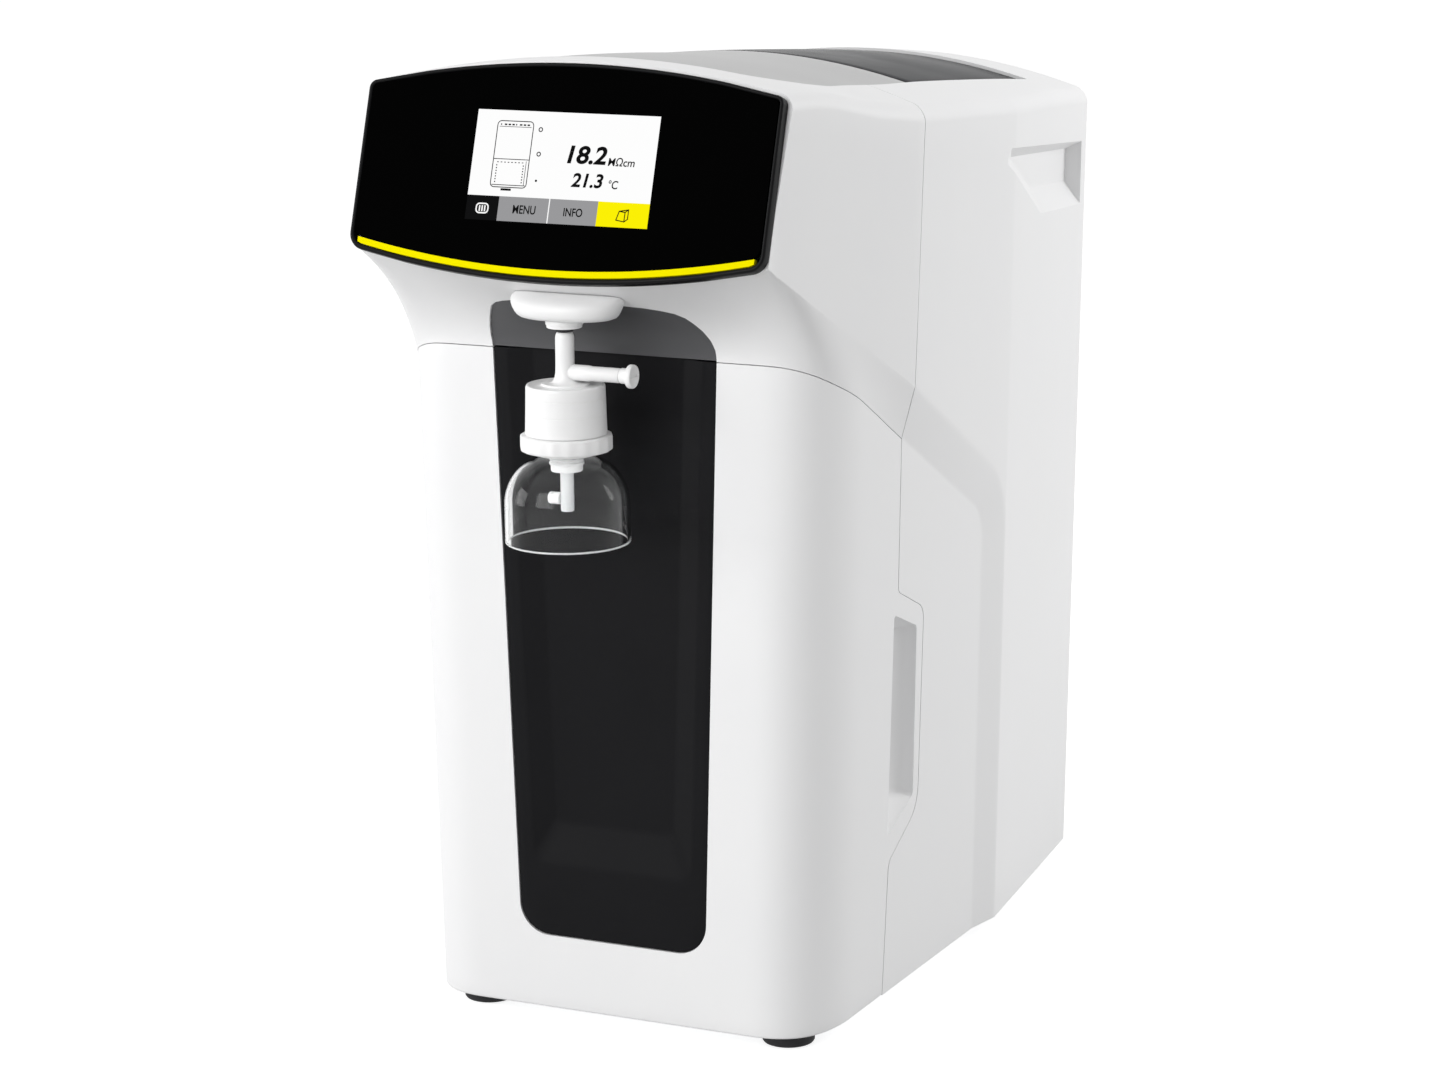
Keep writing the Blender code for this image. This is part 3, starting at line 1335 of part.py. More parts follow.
knob_slot = cutter("knob_slot", span_mesh(
    (knob_face - KNOB_SLOT_DEPTH, -slot_half, -KNOB_SLOT_WIDTH / 2),
    (knob_face + OVERRUN, slot_half, KNOB_SLOT_WIDTH / 2)),
    at=(knob_start, 0, VENT_AXIS_RISE), parent=capsule)
join(vent_knob, knob_disc)
cut(vent_knob, knob_bore)
cut(vent_knob, knob_slot)

bell_top = disc_low - BELL_TOP_GAP
bell_hole = NECK_RADIUS + BELL_HOLE_CLEARANCE


def bell_curve(radius, rise, base, reverse):
    """Quarter arch from the wall up to the neck hole."""
    points = []
    for i in range(BELL_DOME_STEPS + 1):
        angle = math.pi / 2 * i / BELL_DOME_STEPS
        x = bell_hole + (radius - bell_hole) * math.cos(angle) ** BELL_ROUND_POWER
        z = base + rise * math.sin(angle)
        points.append((x, z))
    return points if reverse else list(reversed(points))


bell_low = bell_top - BELL_HEIGHT
dome = BELL_HEIGHT - BELL_STRAIGHT
outside = bell_curve(BELL_RADIUS, dome, bell_low + BELL_STRAIGHT, False)
inside = bell_curve(BELL_RADIUS - BELL_WALL, dome - BELL_WALL, bell_low + BELL_STRAIGHT, True)
bell_profile = outside + [(BELL_RADIUS, bell_low), (BELL_RADIUS - BELL_WALL, bell_low)] + inside
filling_bell = place("filling_bell", turned_mesh(bell_profile + [outside[0]]),
                     CLEAR, 0.05, clear=1.0, parent=capsule)
turn(filling_bell)


# Floor plate and feet


def floor_outline(shrink):
    half = [(x - shrink, y + shrink) for x, y in CORNER_POINTS]
    half.append((INNER_HALF_AT_SEAM - shrink, SEAM_Y))
    half.append((INNER_HALF_AT_BAND - shrink, BAND_FRONT_Y))
    half.append((OUTER_HALF_REAR - shrink, REAR_TAPER_END))
    half.append((OUTER_HALF_REAR - shrink, rear_panel_front - GAP))
    return half + [(-x, y) for x, y in reversed(half)]


rear_panel_rear = REAR_FACE_Y - REAR_PANEL_SETBACK
rear_panel_front = rear_panel_rear - REAR_PANEL_THICKNESS
base_low = SHELL_BOTTOM + GAP
base_high = base_low + BASE_THICKNESS
base_plate = place("base_plate", slab_mesh(
    floor_outline(WALL + BASE_CLEARANCE), BASE_THICKNESS / 2,
    Matrix.Translation((0, 0, (base_low + base_high) / 2))), STEEL, 0.5, 1.0)

foot_reach = OUTER_HALF_REAR - FOOT_INSET
foot_places = {
    "foot_front_left": (-foot_reach, FOOT_FRONT_Y),
    "foot_front_right": (foot_reach, FOOT_FRONT_Y),
    "foot_rear_left": (-foot_reach, FOOT_REAR_Y),
    "foot_rear_right": (foot_reach, FOOT_REAR_Y),
}
for name, (x, y) in foot_places.items():
    foot = place(name, rod_mesh(FOOT_RADIUS, 0, SHELL_BOTTOM), DARK, 0.8, at=(x, y, 0))
    bevel(foot, FOOT_BEVEL)
    pin_hole = cutter(name + "_hole", rod_mesh(
        FOOT_PIN_RADIUS + GAP, -OVERRUN, OVERRUN * 4, steps=SMALL_ROUND_STEPS), at=(x, y, 0))
    pin = cutter(name + "_pin", rod_mesh(
        FOOT_PIN_RADIUS, SHELL_BOTTOM - FOOT_BEVEL * 2, base_high, steps=SMALL_ROUND_STEPS),
        at=(x, y, 0))
    join(foot, pin)
    cut(base_plate, pin_hole)


# Inner frame: an upright plate with a foot flange and a shelf behind it

chassis_low = base_high + GAP
chassis_plate = place("chassis_plate", span_mesh(
    (-CHASSIS_HALF_WIDTH, CHASSIS_Y, chassis_low),
    (CHASSIS_HALF_WIDTH, CHASSIS_Y + CHASSIS_THICKNESS, CHASSIS_TOP_Z)), STEEL, 0.45, 1.0)
chassis_flange = cutter("chassis_flange", span_mesh(
    (-CHASSIS_HALF_WIDTH, CHASSIS_Y + CHASSIS_THICKNESS / 2, chassis_low),
    (CHASSIS_HALF_WIDTH, CHASSIS_Y + CHASSIS_FLANGE, chassis_low + CHASSIS_THICKNESS)))
join(chassis_plate, chassis_flange)

shelf_front = CHASSIS_Y + CHASSIS_THICKNESS + GAP
shelf = place("tank_shelf", span_mesh(
    (-SHELF_HALF_WIDTH, shelf_front, SHELF_Z - SHELF_THICKNESS),
    (SHELF_HALF_WIDTH, SHELF_REAR_Y, SHELF_Z)), STEEL, 0.45, 1.0)
shelf_parts = [
    span_mesh((-SHELF_HALF_WIDTH, SHELF_REAR_Y - SHELF_THICKNESS, SHELF_Z - SHELF_THICKNESS),
              (SHELF_HALF_WIDTH, SHELF_REAR_Y, SHELF_Z + SHELF_LIP)),
]
for side in (1, -1):
    outer = side * SHELF_HALF_WIDTH
    inner = side * (SHELF_HALF_WIDTH - SHELF_THICKNESS)
    shelf_parts.append(span_mesh(
        (min(outer, inner), SHELF_REAR_Y - SHELF_LEG_WIDTH, chassis_low),
        (max(outer, inner), SHELF_REAR_Y, SHELF_Z)))
for mesh in shelf_parts:
    join(shelf, cutter("shelf_fold", mesh))


# Storage tank with its screw cap

tank_low = SHELF_Z + GAP
tank_high = tank_low + TANK_HEIGHT
storage_tank = place("storage_tank", span_mesh(
    (-TANK_HALF_WIDTH, TANK_FRONT_Y, tank_low), (TANK_HALF_WIDTH, TANK_REAR_Y, tank_high)),
    MILKY, 0.5)
bevel(storage_tank, TANK_BEVEL, 3)
tank_cap = place("tank_cap", rod_mesh(
    TANK_CAP_RADIUS, tank_high + GAP, tank_high + GAP + TANK_CAP_HEIGHT), BLUE, 0.45,
    at=(0, TANK_CAP_Y, 0))
bevel(tank_cap, FOOT_BEVEL)


# Purification cartridges in their holder, and the ultraviolet lamp beside them

holder_low = base_high + GAP
holder_high = holder_low + HOLDER_THICKNESS
lamp_right = LAMP_X + LAMP_CAP_RADIUS + HOLDER_MARGIN
holder_left = CARTRIDGE_X_CENTRES[0] - CARTRIDGE_RADIUS - HOLDER_MARGIN
cartridge_holder = place("cartridge_holder", span_mesh(
    (holder_left, CARTRIDGE_Y - CARTRIDGE_RADIUS - HOLDER_MARGIN, holder_low),
    (lamp_right, CARTRIDGE_Y + CARTRIDGE_RADIUS + HOLDER_MARGIN, holder_high)), DARK, 0.5)
column_low = holder_high - HOLDER_THICKNESS / 2
manifold_low = column_low + CARTRIDGE_HEIGHT + CARTRIDGE_NECK_HEIGHT + GAP
cartridge_names = ("pretreatment_cartridge", "polishing_cartridge")
for name, x in zip(cartridge_names, CARTRIDGE_X_CENTRES):
    well = cutter(name + "_well", rod_mesh(
        CARTRIDGE_RADIUS + GAP, column_low - GAP, holder_high + OVERRUN), at=(x, CARTRIDGE_Y, 0))
    cut(cartridge_holder, well)
    shoulder = column_low + CARTRIDGE_HEIGHT
    dome_points = [(CARTRIDGE_RADIUS * out, shoulder - CARTRIDGE_DOME * down)
                   for out, down in CARTRIDGE_DOME_SHARES]
    body = place(name, turned_mesh([
        (0, shoulder + CARTRIDGE_NECK_HEIGHT),
        (CARTRIDGE_NECK_RADIUS, shoulder + CARTRIDGE_NECK_HEIGHT),
        (CARTRIDGE_NECK_RADIUS, shoulder),
        *dome_points,
        (CARTRIDGE_RADIUS, shoulder - CARTRIDGE_DOME),
        (CARTRIDGE_RADIUS, column_low),
        (0, column_low),
    ]), WHITE, 0.4, at=(x, CARTRIDGE_Y, 0))
    turn(body)

lamp_high = column_low + CARTRIDGE_HEIGHT + LAMP_OVER_CARTRIDGE
uv_housing = place("uv_housing", turned_mesh([
    (0, lamp_high + LAMP_CAP_HEIGHT),
    (LAMP_CAP_RADIUS, lamp_high + LAMP_CAP_HEIGHT),
    (LAMP_CAP_RADIUS, lamp_high),
    (LAMP_RADIUS, lamp_high),
    (LAMP_RADIUS, column_low + LAMP_CAP_HEIGHT),
    (LAMP_CAP_RADIUS, column_low + LAMP_CAP_HEIGHT),
    (LAMP_CAP_RADIUS, column_low),
    (0, column_low),
]), STEEL, 0.25, 1.0, at=(LAMP_X, CARTRIDGE_Y, 0))
turn(uv_housing)
lamp_well = cutter("lamp_well", rod_mesh(
    LAMP_CAP_RADIUS + GAP, column_low - GAP, holder_high + OVERRUN), at=(LAMP_X, CARTRIDGE_Y, 0))
cut(cartridge_holder, lamp_well)

manifold_high = manifold_low + MANIFOLD_HEIGHT
manifold_x = CARTRIDGE_X_CENTRES[0] - CARTRIDGE_NECK_RADIUS - HOLDER_MARGIN
manifold_end = LAMP_X - LAMP_CAP_RADIUS - GAP * 3
flow_manifold = place("flow_manifold", span_mesh(
    (manifold_x, CARTRIDGE_Y - MANIFOLD_DEPTH / 2, manifold_low),
    (manifold_end, CARTRIDGE_Y + MANIFOLD_DEPTH / 2, manifold_high)), BLACK, 0.5)
bevel(flow_manifold, FOOT_BEVEL)

conductivity_cell = place("conductivity_cell", rod_mesh(
    CELL_RADIUS, manifold_high + GAP, manifold_high + GAP + CELL_HEIGHT, steps=6),
    STEEL, 0.3, 1.0, at=(CELL_X, CARTRIDGE_Y, 0))
valve_low = manifold_high + GAP
solenoid_valve = place("solenoid_valve", span_mesh(
    (VALVE_X - VALVE_WIDTH / 2, CARTRIDGE_Y - VALVE_WIDTH / 2, valve_low),
    (VALVE_X + VALVE_WIDTH / 2, CARTRIDGE_Y + VALVE_WIDTH / 2, valve_low + VALVE_HEIGHT)),
    BLACK, 0.5)
valve_coil = cutter("valve_coil", rod_mesh(
    COIL_RADIUS, valve_low + VALVE_HEIGHT / 2, valve_low + VALVE_HEIGHT + COIL_HEIGHT),
    at=(VALVE_X, CARTRIDGE_Y, 0))
join(solenoid_valve, valve_coil)


# Pump in its cradle, power supply and control board

pump_z = base_high + GAP + PUMP_AXIS_RISE
pump_start = PUMP_Y - PUMP_LENGTH / 2
pump_end = PUMP_Y + PUMP_LENGTH / 2
pump_motor = place("pump_motor", rod_mesh(PUMP_RADIUS, pump_start, pump_end, "Y"),
                   STEEL, 0.35, 1.0, at=(PUMP_X, 0, pump_z))
bevel(pump_motor, FOOT_BEVEL)
pump_head = place("pump_head", rod_mesh(
    PUMP_HEAD_RADIUS, pump_end + GAP, pump_end + GAP + PUMP_HEAD_LENGTH, "Y"),
    BLACK, 0.45, at=(PUMP_X, 0, pump_z))
port_y = pump_end + GAP + PUMP_HEAD_LENGTH / 2
pump_port = cutter("pump_port", rod_mesh(
    PUMP_PORT_RADIUS, 0, PUMP_HEAD_RADIUS + PUMP_PORT_HEIGHT, steps=SMALL_ROUND_STEPS),
    at=(PUMP_X, port_y, pump_z))
join(pump_head, pump_port)
pump_cradle = place("pump_cradle", span_mesh(
    (PUMP_X - CRADLE_WIDTH / 2, PUMP_Y - CRADLE_LENGTH / 2, base_high + GAP),
    (PUMP_X + CRADLE_WIDTH / 2, PUMP_Y + CRADLE_LENGTH / 2, pump_z - PUMP_RADIUS / 2)),
    BLACK, 0.6)
cradle_seat = cutter("cradle_seat", rod_mesh(
    PUMP_RADIUS + GAP, pump_start - OVERRUN, pump_end + OVERRUN, "Y"), at=(PUMP_X, 0, pump_z))
cut(pump_cradle, cradle_seat)

power_supply = place("power_supply", span_mesh(
    (SUPPLY_X - SUPPLY_WIDTH / 2, SUPPLY_Y - SUPPLY_LENGTH / 2, base_high + GAP),
    (SUPPLY_X + SUPPLY_WIDTH / 2, SUPPLY_Y + SUPPLY_LENGTH / 2,
     base_high + GAP + SUPPLY_HEIGHT)), STEEL, 0.4, 1.0)
bevel(power_supply, COLLAR_BEVEL)

control_board = place("control_board", span_mesh(
    (-CONTROL_WIDTH / 2, CHASSIS_Y - GAP - BOARD_THICKNESS, CONTROL_Z),
    (CONTROL_WIDTH / 2, CHASSIS_Y - GAP, CONTROL_Z + CONTROL_HEIGHT)), GREEN, 0.5)


# Rear panel and its fittings


def rear_wall(z):
    return OUTER_HALF_REAR + SIDE_DRAFT * (z - SHELL_BOTTOM) - WALL - REAR_PANEL_CLEARANCE


REAR_ARCH_STEPS = 8
panel_low = base_high + GAP
panel_top = ridge_z(REAR_TAPER_END) - WALL - REAR_PANEL_CLEARANCE
panel_edge = panel_top - arch_drop(REAR_TAPER_END, OUTER_HALF_MIDDLE) - SHOULDER_RADIUS
panel_corner = rear_wall(panel_edge)
panel_outline = [(-rear_wall(panel_low), panel_low), (rear_wall(panel_low), panel_low)]
panel_outline.append((panel_corner, panel_edge))
arch_half = panel_corner - SHOULDER_RADIUS
for i in range(REAR_ARCH_STEPS + 1):
    x = arch_half * (1 - 2 * i / REAR_ARCH_STEPS)
    panel_outline.append((x, panel_top - arch_drop(REAR_TAPER_END, x) - GAP))
panel_outline.append((-panel_corner, panel_edge))
rear_panel = place("rear_panel", slab_mesh(
    panel_outline, REAR_PANEL_THICKNESS / 2,
    Matrix.Translation((0, (rear_panel_front + rear_panel_rear) / 2, 0)) @ FRONT_VIEW), WHITE, 0.5)


def panel_opening(name, width, height, x, z):
    tool = cutter(name, span_mesh(
        (x - width / 2, rear_panel_front - OVERRUN, z - height / 2),
        (x + width / 2, rear_panel_rear + OVERRUN, z + height / 2)))
    cut(rear_panel, tool)


for i in range(VENT_SLOT_COUNT):
    panel_opening("vent_slot", VENT_SLOT_WIDTH, VENT_SLOT_HEIGHT, 0,
                  VENT_SLOT_Z + i * VENT_SLOT_PITCH)

panel_opening("mains_opening", MAINS_WIDTH, MAINS_HEIGHT, MAINS_X, MAINS_Z)
mains_half = MAINS_WIDTH / 2 - GAP
mains_rise = MAINS_HEIGHT / 2 - GAP
mains_inlet = place("mains_inlet", span_mesh(
    (-mains_half, -MAINS_DEPTH, -mains_rise), (mains_half, 0, mains_rise)), BLACK, 0.5,
    at=(MAINS_X, rear_panel_rear + GAP, MAINS_Z))
mains_lip = cutter("mains_lip", span_mesh(
    (-mains_half - MAINS_LIP, 0, -mains_rise - MAINS_LIP),
    (mains_half + MAINS_LIP, REAR_PANEL_SETBACK - GAP * 2, mains_rise + MAINS_LIP)),
    at=(MAINS_X, rear_panel_rear + GAP, MAINS_Z))
mains_socket = cutter("mains_socket", span_mesh(
    (-MAINS_SOCKET_WIDTH / 2, -MAINS_SOCKET_DEPTH, -MAINS_SOCKET_HEIGHT / 2),
    (MAINS_SOCKET_WIDTH / 2, OVERRUN, MAINS_SOCKET_HEIGHT / 2)),
    at=(MAINS_X, rear_panel_rear + GAP, MAINS_Z))
join(mains_inlet, mains_lip)
cut(mains_inlet, mains_socket)
for step in (-1, 0, 1):
    blade = cutter("mains_blade", span_mesh(
        (step * MAINS_BLADE_SPACING - MAINS_BLADE_WIDTH / 2, -MAINS_SOCKET_DEPTH - GAP,
         -MAINS_BLADE_HEIGHT / 2),
        (step * MAINS_BLADE_SPACING + MAINS_BLADE_WIDTH / 2,
         MAINS_BLADE_LENGTH - MAINS_SOCKET_DEPTH, MAINS_BLADE_HEIGHT / 2)),
        at=(MAINS_X, rear_panel_rear + GAP, MAINS_Z))
    join(mains_inlet, blade)

switch_width = SWITCH_WIDTH + SWITCH_FRAME * 2
switch_height = SWITCH_HEIGHT + SWITCH_FRAME * 2
panel_opening("switch_opening", switch_width, switch_height, SWITCH_X, MAINS_Z)
switch_housing = place("switch_housing", span_mesh(
    (-switch_width / 2 + GAP, -SWITCH_DEPTH, -switch_height / 2 + GAP),
    (switch_width / 2 - GAP, 0, switch_height / 2 - GAP)), BLACK, 0.5,
    at=(SWITCH_X, rear_panel_rear, MAINS_Z))
switch_well = cutter("switch_well", span_mesh(
    (-SWITCH_WIDTH / 2, -SWITCH_DEPTH + SWITCH_FRAME, -SWITCH_HEIGHT / 2),
    (SWITCH_WIDTH / 2, OVERRUN, SWITCH_HEIGHT / 2)), at=(SWITCH_X, rear_panel_rear, MAINS_Z))
cut(switch_housing, switch_well)

rocker_half = SWITCH_HEIGHT / 2 - ROCKER_CLEARANCE
rocker_outline = [
    (ROCKER_FRONT, 0),
    (ROCKER_FRONT + rocker_half * math.tan(ROCKER_TILT), rocker_half * math.cos(ROCKER_TILT)),
    (0, rocker_half * math.cos(ROCKER_TILT)),
    (-ROCKER_RADIUS, ROCKER_RADIUS),
    (-ROCKER_RADIUS, -ROCKER_RADIUS),
    (0, -rocker_half * math.cos(ROCKER_TILT)),
    (ROCKER_FRONT + rocker_half * math.tan(ROCKER_TILT), -rocker_half * math.cos(ROCKER_TILT)),
]
rocker_back = ROCKER_FRONT + rocker_half * math.tan(ROCKER_TILT) * 2
rocker_axis = bpy.data.objects.new("rocker_axis", None)
rocker_axis.location = (SWITCH_X, rear_panel_rear - rocker_back + REAR_PANEL_SETBACK, MAINS_Z)
rocker_axis.parent = middle
parts.objects.link(rocker_axis)
power_rocker = place("power_rocker", slab_mesh(
    rocker_outline, SWITCH_WIDTH / 2 - ROCKER_CLEARANCE, SIDE_VIEW), BLACK, 0.4,
    parent=rocker_axis)
power_rocker.rotation_euler = (ROCKER_TILT, 0, 0)

port_names = {"feed_connector": FEED_X, "drain_connector": DRAIN_X}
for name, x in port_names.items():
    opening = cutter(name + "_opening", rod_mesh(
        PORT_RADIUS + GAP, rear_panel_front - OVERRUN, rear_panel_rear + OVERRUN, "Y"),
        at=(x, 0, PORT_Z))
    cut(rear_panel, opening)
    port = place(name, turned_mesh([
        (PORT_BORE_RADIUS, REAR_PANEL_SETBACK - GAP),
        (PORT_FLANGE_RADIUS, REAR_PANEL_SETBACK - GAP),
        (PORT_FLANGE_RADIUS, GAP),
        (PORT_RADIUS, GAP),
        (PORT_RADIUS, -REAR_PANEL_THICKNESS - PORT_FLANGE),
        (PORT_NECK_RADIUS, -REAR_PANEL_THICKNESS - PORT_FLANGE),
        (PORT_NECK_RADIUS, -REAR_PANEL_THICKNESS - PORT_IN_LENGTH),
        (0, -REAR_PANEL_THICKNESS - PORT_IN_LENGTH),
        (0, -REAR_PANEL_THICKNESS),
        (PORT_BORE_RADIUS, -REAR_PANEL_THICKNESS),
        (PORT_BORE_RADIUS, REAR_PANEL_SETBACK - GAP),
    ]), GREY, 0.4, at=(x, rear_panel_rear, PORT_Z))
    turn(port, SMALL_ROUND_STEPS)
    port.rotation_euler = (-math.pi / 2, 0, 0)

panel_opening("data_opening", DATA_WIDTH, DATA_HEIGHT, DATA_X, DATA_Z)
data_port = place("data_port", span_mesh(
    (-DATA_WIDTH / 2 + GAP, -DATA_DEPTH, -DATA_HEIGHT / 2 + GAP),
    (DATA_WIDTH / 2 - GAP, 0, DATA_HEIGHT / 2 - GAP)), STEEL, 0.4, 1.0,
    at=(DATA_X, rear_panel_rear, DATA_Z))
data_socket = cutter("data_socket", span_mesh(
    (-DATA_WIDTH / 2 + DATA_SOCKET_WALL, DATA_SOCKET_WALL - DATA_DEPTH,
     -DATA_HEIGHT / 2 + DATA_SOCKET_WALL),
    (DATA_WIDTH / 2 - DATA_SOCKET_WALL, OVERRUN, DATA_HEIGHT / 2 - DATA_SOCKET_WALL)),
    at=(DATA_X, rear_panel_rear, DATA_Z))
cut(data_port, data_socket)

screw_places = {
    "rear_screw_low_left": (-REAR_SCREW_HALF_SPACING, REAR_SCREW_LOW_Z),
    "rear_screw_low_right": (REAR_SCREW_HALF_SPACING, REAR_SCREW_LOW_Z),
    "rear_screw_high_left": (-REAR_SCREW_HALF_SPACING, REAR_SCREW_HIGH_Z),
    "rear_screw_high_right": (REAR_SCREW_HALF_SPACING, REAR_SCREW_HIGH_Z),
}
for name, (x, z) in screw_places.items():
    screw = place(name, rod_mesh(
        REAR_SCREW_HEAD_RADIUS, GAP, GAP + REAR_SCREW_HEAD_HEIGHT, "Y", SMALL_ROUND_STEPS),
        STEEL, 0.3, 1.0, at=(x, rear_panel_rear, z))
    shank = cutter("screw_shank", rod_mesh(
        REAR_SCREW_SHANK_RADIUS, -REAR_SCREW_LENGTH, GAP * 2, "Y", SMALL_ROUND_STEPS),
        at=(x, rear_panel_rear, z))
    join(screw, shank)
    hole = cutter("screw_hole", rod_mesh(
        REAR_SCREW_SHANK_RADIUS + GAP, -REAR_SCREW_LENGTH - OVERRUN, OVERRUN, "Y",
        SMALL_ROUND_STEPS), at=(x, rear_panel_rear, z))
    cut(rear_panel, hole)
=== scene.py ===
import json
import math

import bmesh
import bpy
from mathutils import Matrix, Vector
from mathutils.bvhtree import BVHTree
from mathutils.geometry import barycentric_transform


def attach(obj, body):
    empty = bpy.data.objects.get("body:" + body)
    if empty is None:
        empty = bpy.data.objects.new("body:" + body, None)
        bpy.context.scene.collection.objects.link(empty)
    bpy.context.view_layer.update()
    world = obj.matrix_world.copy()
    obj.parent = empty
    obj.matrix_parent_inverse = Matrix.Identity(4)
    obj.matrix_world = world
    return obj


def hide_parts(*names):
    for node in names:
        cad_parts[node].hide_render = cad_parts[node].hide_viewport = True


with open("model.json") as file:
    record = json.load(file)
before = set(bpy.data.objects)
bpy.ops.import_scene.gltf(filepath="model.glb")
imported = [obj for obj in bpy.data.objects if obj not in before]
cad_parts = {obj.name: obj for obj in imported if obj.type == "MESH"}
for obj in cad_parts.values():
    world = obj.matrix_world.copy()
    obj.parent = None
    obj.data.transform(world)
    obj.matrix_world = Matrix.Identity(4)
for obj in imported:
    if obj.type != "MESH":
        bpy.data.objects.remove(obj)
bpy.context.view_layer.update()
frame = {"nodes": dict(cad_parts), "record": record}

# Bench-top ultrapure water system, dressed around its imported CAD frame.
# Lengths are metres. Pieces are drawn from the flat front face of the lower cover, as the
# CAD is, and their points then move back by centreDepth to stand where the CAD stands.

print("frame loaded,", len(frame["nodes"]), "CAD nodes")

centreDepth = 0.15815
sharpAngle = math.radians(32)


# Materials

def hexColour(text):
    parts = [int(text[i:i + 2], 16) / 255 for i in (1, 3, 5)]
    return [p / 12.92 if p <= 0.04045 else ((p + 0.055) / 1.055) ** 2.4 for p in parts] + [1]


def addNode(tree, kind, inputs=None, **settings):
    node = tree.nodes.new(kind)
    for name, value in settings.items():
        setattr(node, name, value)
    for socket, value in (inputs or {}).items():
        if isinstance(value, bpy.types.NodeSocket):
            tree.links.new(value, node.inputs[socket])
        else:
            node.inputs[socket].default_value = value
    return node


def blankMaterial(name):
    material = bpy.data.materials.new(name)
    material.use_nodes = True
    tree = material.node_tree
    return material, tree, tree.nodes["Principled BSDF"]


# A moulded plastic: two near shades in slow clouds, a spark-eroded grain that tilts the
# light a little, and a gloss that wanders with the clouds
def mouldedPlastic(name, look):
    material, tree, shader = blankMaterial(name)
    place = addNode(tree, "ShaderNodeTexCoord").outputs["Object"]
    clouds = addNode(tree, "ShaderNodeTexNoise", {
        "Vector": place, "Scale": 1000 / look["cloudMm"], "Detail": 2, "Roughness": 0.5})
    grain = addNode(tree, "ShaderNodeTexNoise", {
        "Vector": place, "Scale": 1000 / look["grainMm"], "Detail": 3, "Roughness": 0.6})
    shades = addNode(tree, "ShaderNodeMix", {
        "Factor": clouds.outputs["Fac"], 6: hexColour(look["shadeA"]),
        7: hexColour(look["shadeB"])}, data_type="RGBA")
    gloss = addNode(tree, "ShaderNodeMapRange", {
        "Value": clouds.outputs["Fac"], "From Min": 0.3, "From Max": 0.7,
        "To Min": look["roughLow"], "To Max": look["roughHigh"]})
    relief = addNode(tree, "ShaderNodeBump", {
        "Height": grain.outputs["Fac"], "Strength": look["grainStrength"],
        "Distance": look["grainDepthMm"] / 1000})
    tree.links.new(shades.outputs[2], shader.inputs["Base Color"])
    tree.links.new(gloss.outputs["Result"], shader.inputs["Roughness"])
    tree.links.new(relief.outputs["Normal"], shader.inputs["Normal"])
    shader.inputs["IOR"].default_value = look.get("ior", 1.5)
    shader.inputs["Specular IOR Level"].default_value = look.get("specular", 0.5)
    shader.inputs["Transmission Weight"].default_value = look.get("clear", 0)
    shader.inputs["Subsurface Weight"].default_value = look.get("milk", 0)
    shader.inputs["Subsurface Radius"].default_value = (0.004, 0.004, 0.004)
    shader.inputs["Subsurface Scale"].default_value = look.get("milkDepth", 0.5)
    return material


# A metal: colour and gloss from slow clouds, with fine lines along one axis where it is
# brushed or drawn
def workedMetal(name, look):
    material, tree, shader = blankMaterial(name)
    place = addNode(tree, "ShaderNodeTexCoord").outputs["Object"]
    stretch = addNode(tree, "ShaderNodeMapping", {"Vector": place, "Scale": look["stretch"]})
    lines = addNode(tree, "ShaderNodeTexNoise", {
        "Vector": stretch.outputs["Vector"], "Scale": 1000 / look["lineMm"], "Detail": 3})
    clouds = addNode(tree, "ShaderNodeTexNoise", {
        "Vector": place, "Scale": 1000 / look["cloudMm"], "Detail": 2})
    shades = addNode(tree, "ShaderNodeMix", {
        "Factor": clouds.outputs["Fac"], 6: hexColour(look["shadeA"]),
        7: hexColour(look["shadeB"])}, data_type="RGBA")
    gloss = addNode(tree, "ShaderNodeMapRange", {
        "Value": lines.outputs["Fac"], "From Min": 0.3, "From Max": 0.7,
        "To Min": look["roughLow"], "To Max": look["roughHigh"]})
    relief = addNode(tree, "ShaderNodeBump", {
        "Height": lines.outputs["Fac"], "Strength": look["lineStrength"],
        "Distance": look["lineDepthMm"] / 1000})
    tree.links.new(shades.outputs[2], shader.inputs["Base Color"])
    tree.links.new(gloss.outputs["Result"], shader.inputs["Roughness"])
    tree.links.new(relief.outputs["Normal"], shader.inputs["Normal"])
    shader.inputs["Metallic"].default_value = 1
    return material


# Lit pixels of the display: colour from the light alone, with the pixel rows as a faint ripple
def litPixels(name, look):
    material, tree, shader = blankMaterial(name)
    place = addNode(tree, "ShaderNodeTexCoord").outputs["Object"]
    rows = addNode(tree, "ShaderNodeTexWave", {
        "Vector": place, "Scale": 1000 / look["pixelMm"], "Distortion": 0.0},
        bands_direction="X")
    shades = addNode(tree, "ShaderNodeMix", {
        "Factor": rows.outputs["Fac"], 6: hexColour(look["shadeA"]),
        7: hexColour(look["shadeB"])}, data_type="RGBA")
    tree.links.new(shades.outputs[2], shader.inputs["Emission Color"])
    shader.inputs["Emission Strength"].default_value = 1
    shader.inputs["Base Color"].default_value = hexColour("#050505")
    shader.inputs["Roughness"].default_value = 0.35
    shader.inputs["Specular IOR Level"].default_value = 0
    return material


# Satin ABS, injection moulded against spark-eroded steel: a soft even white without glare
satinAbs = mouldedPlastic("satinAbsWhite", {
    "shadeA": "#EDEDEE", "shadeB": "#F1F1F1", "cloudMm": 60, "grainMm": 0.8,
    "grainStrength": 0.25, "grainDepthMm": 0.02, "roughLow": 0.42, "roughHigh": 0.5,
    "specular": 0.35})
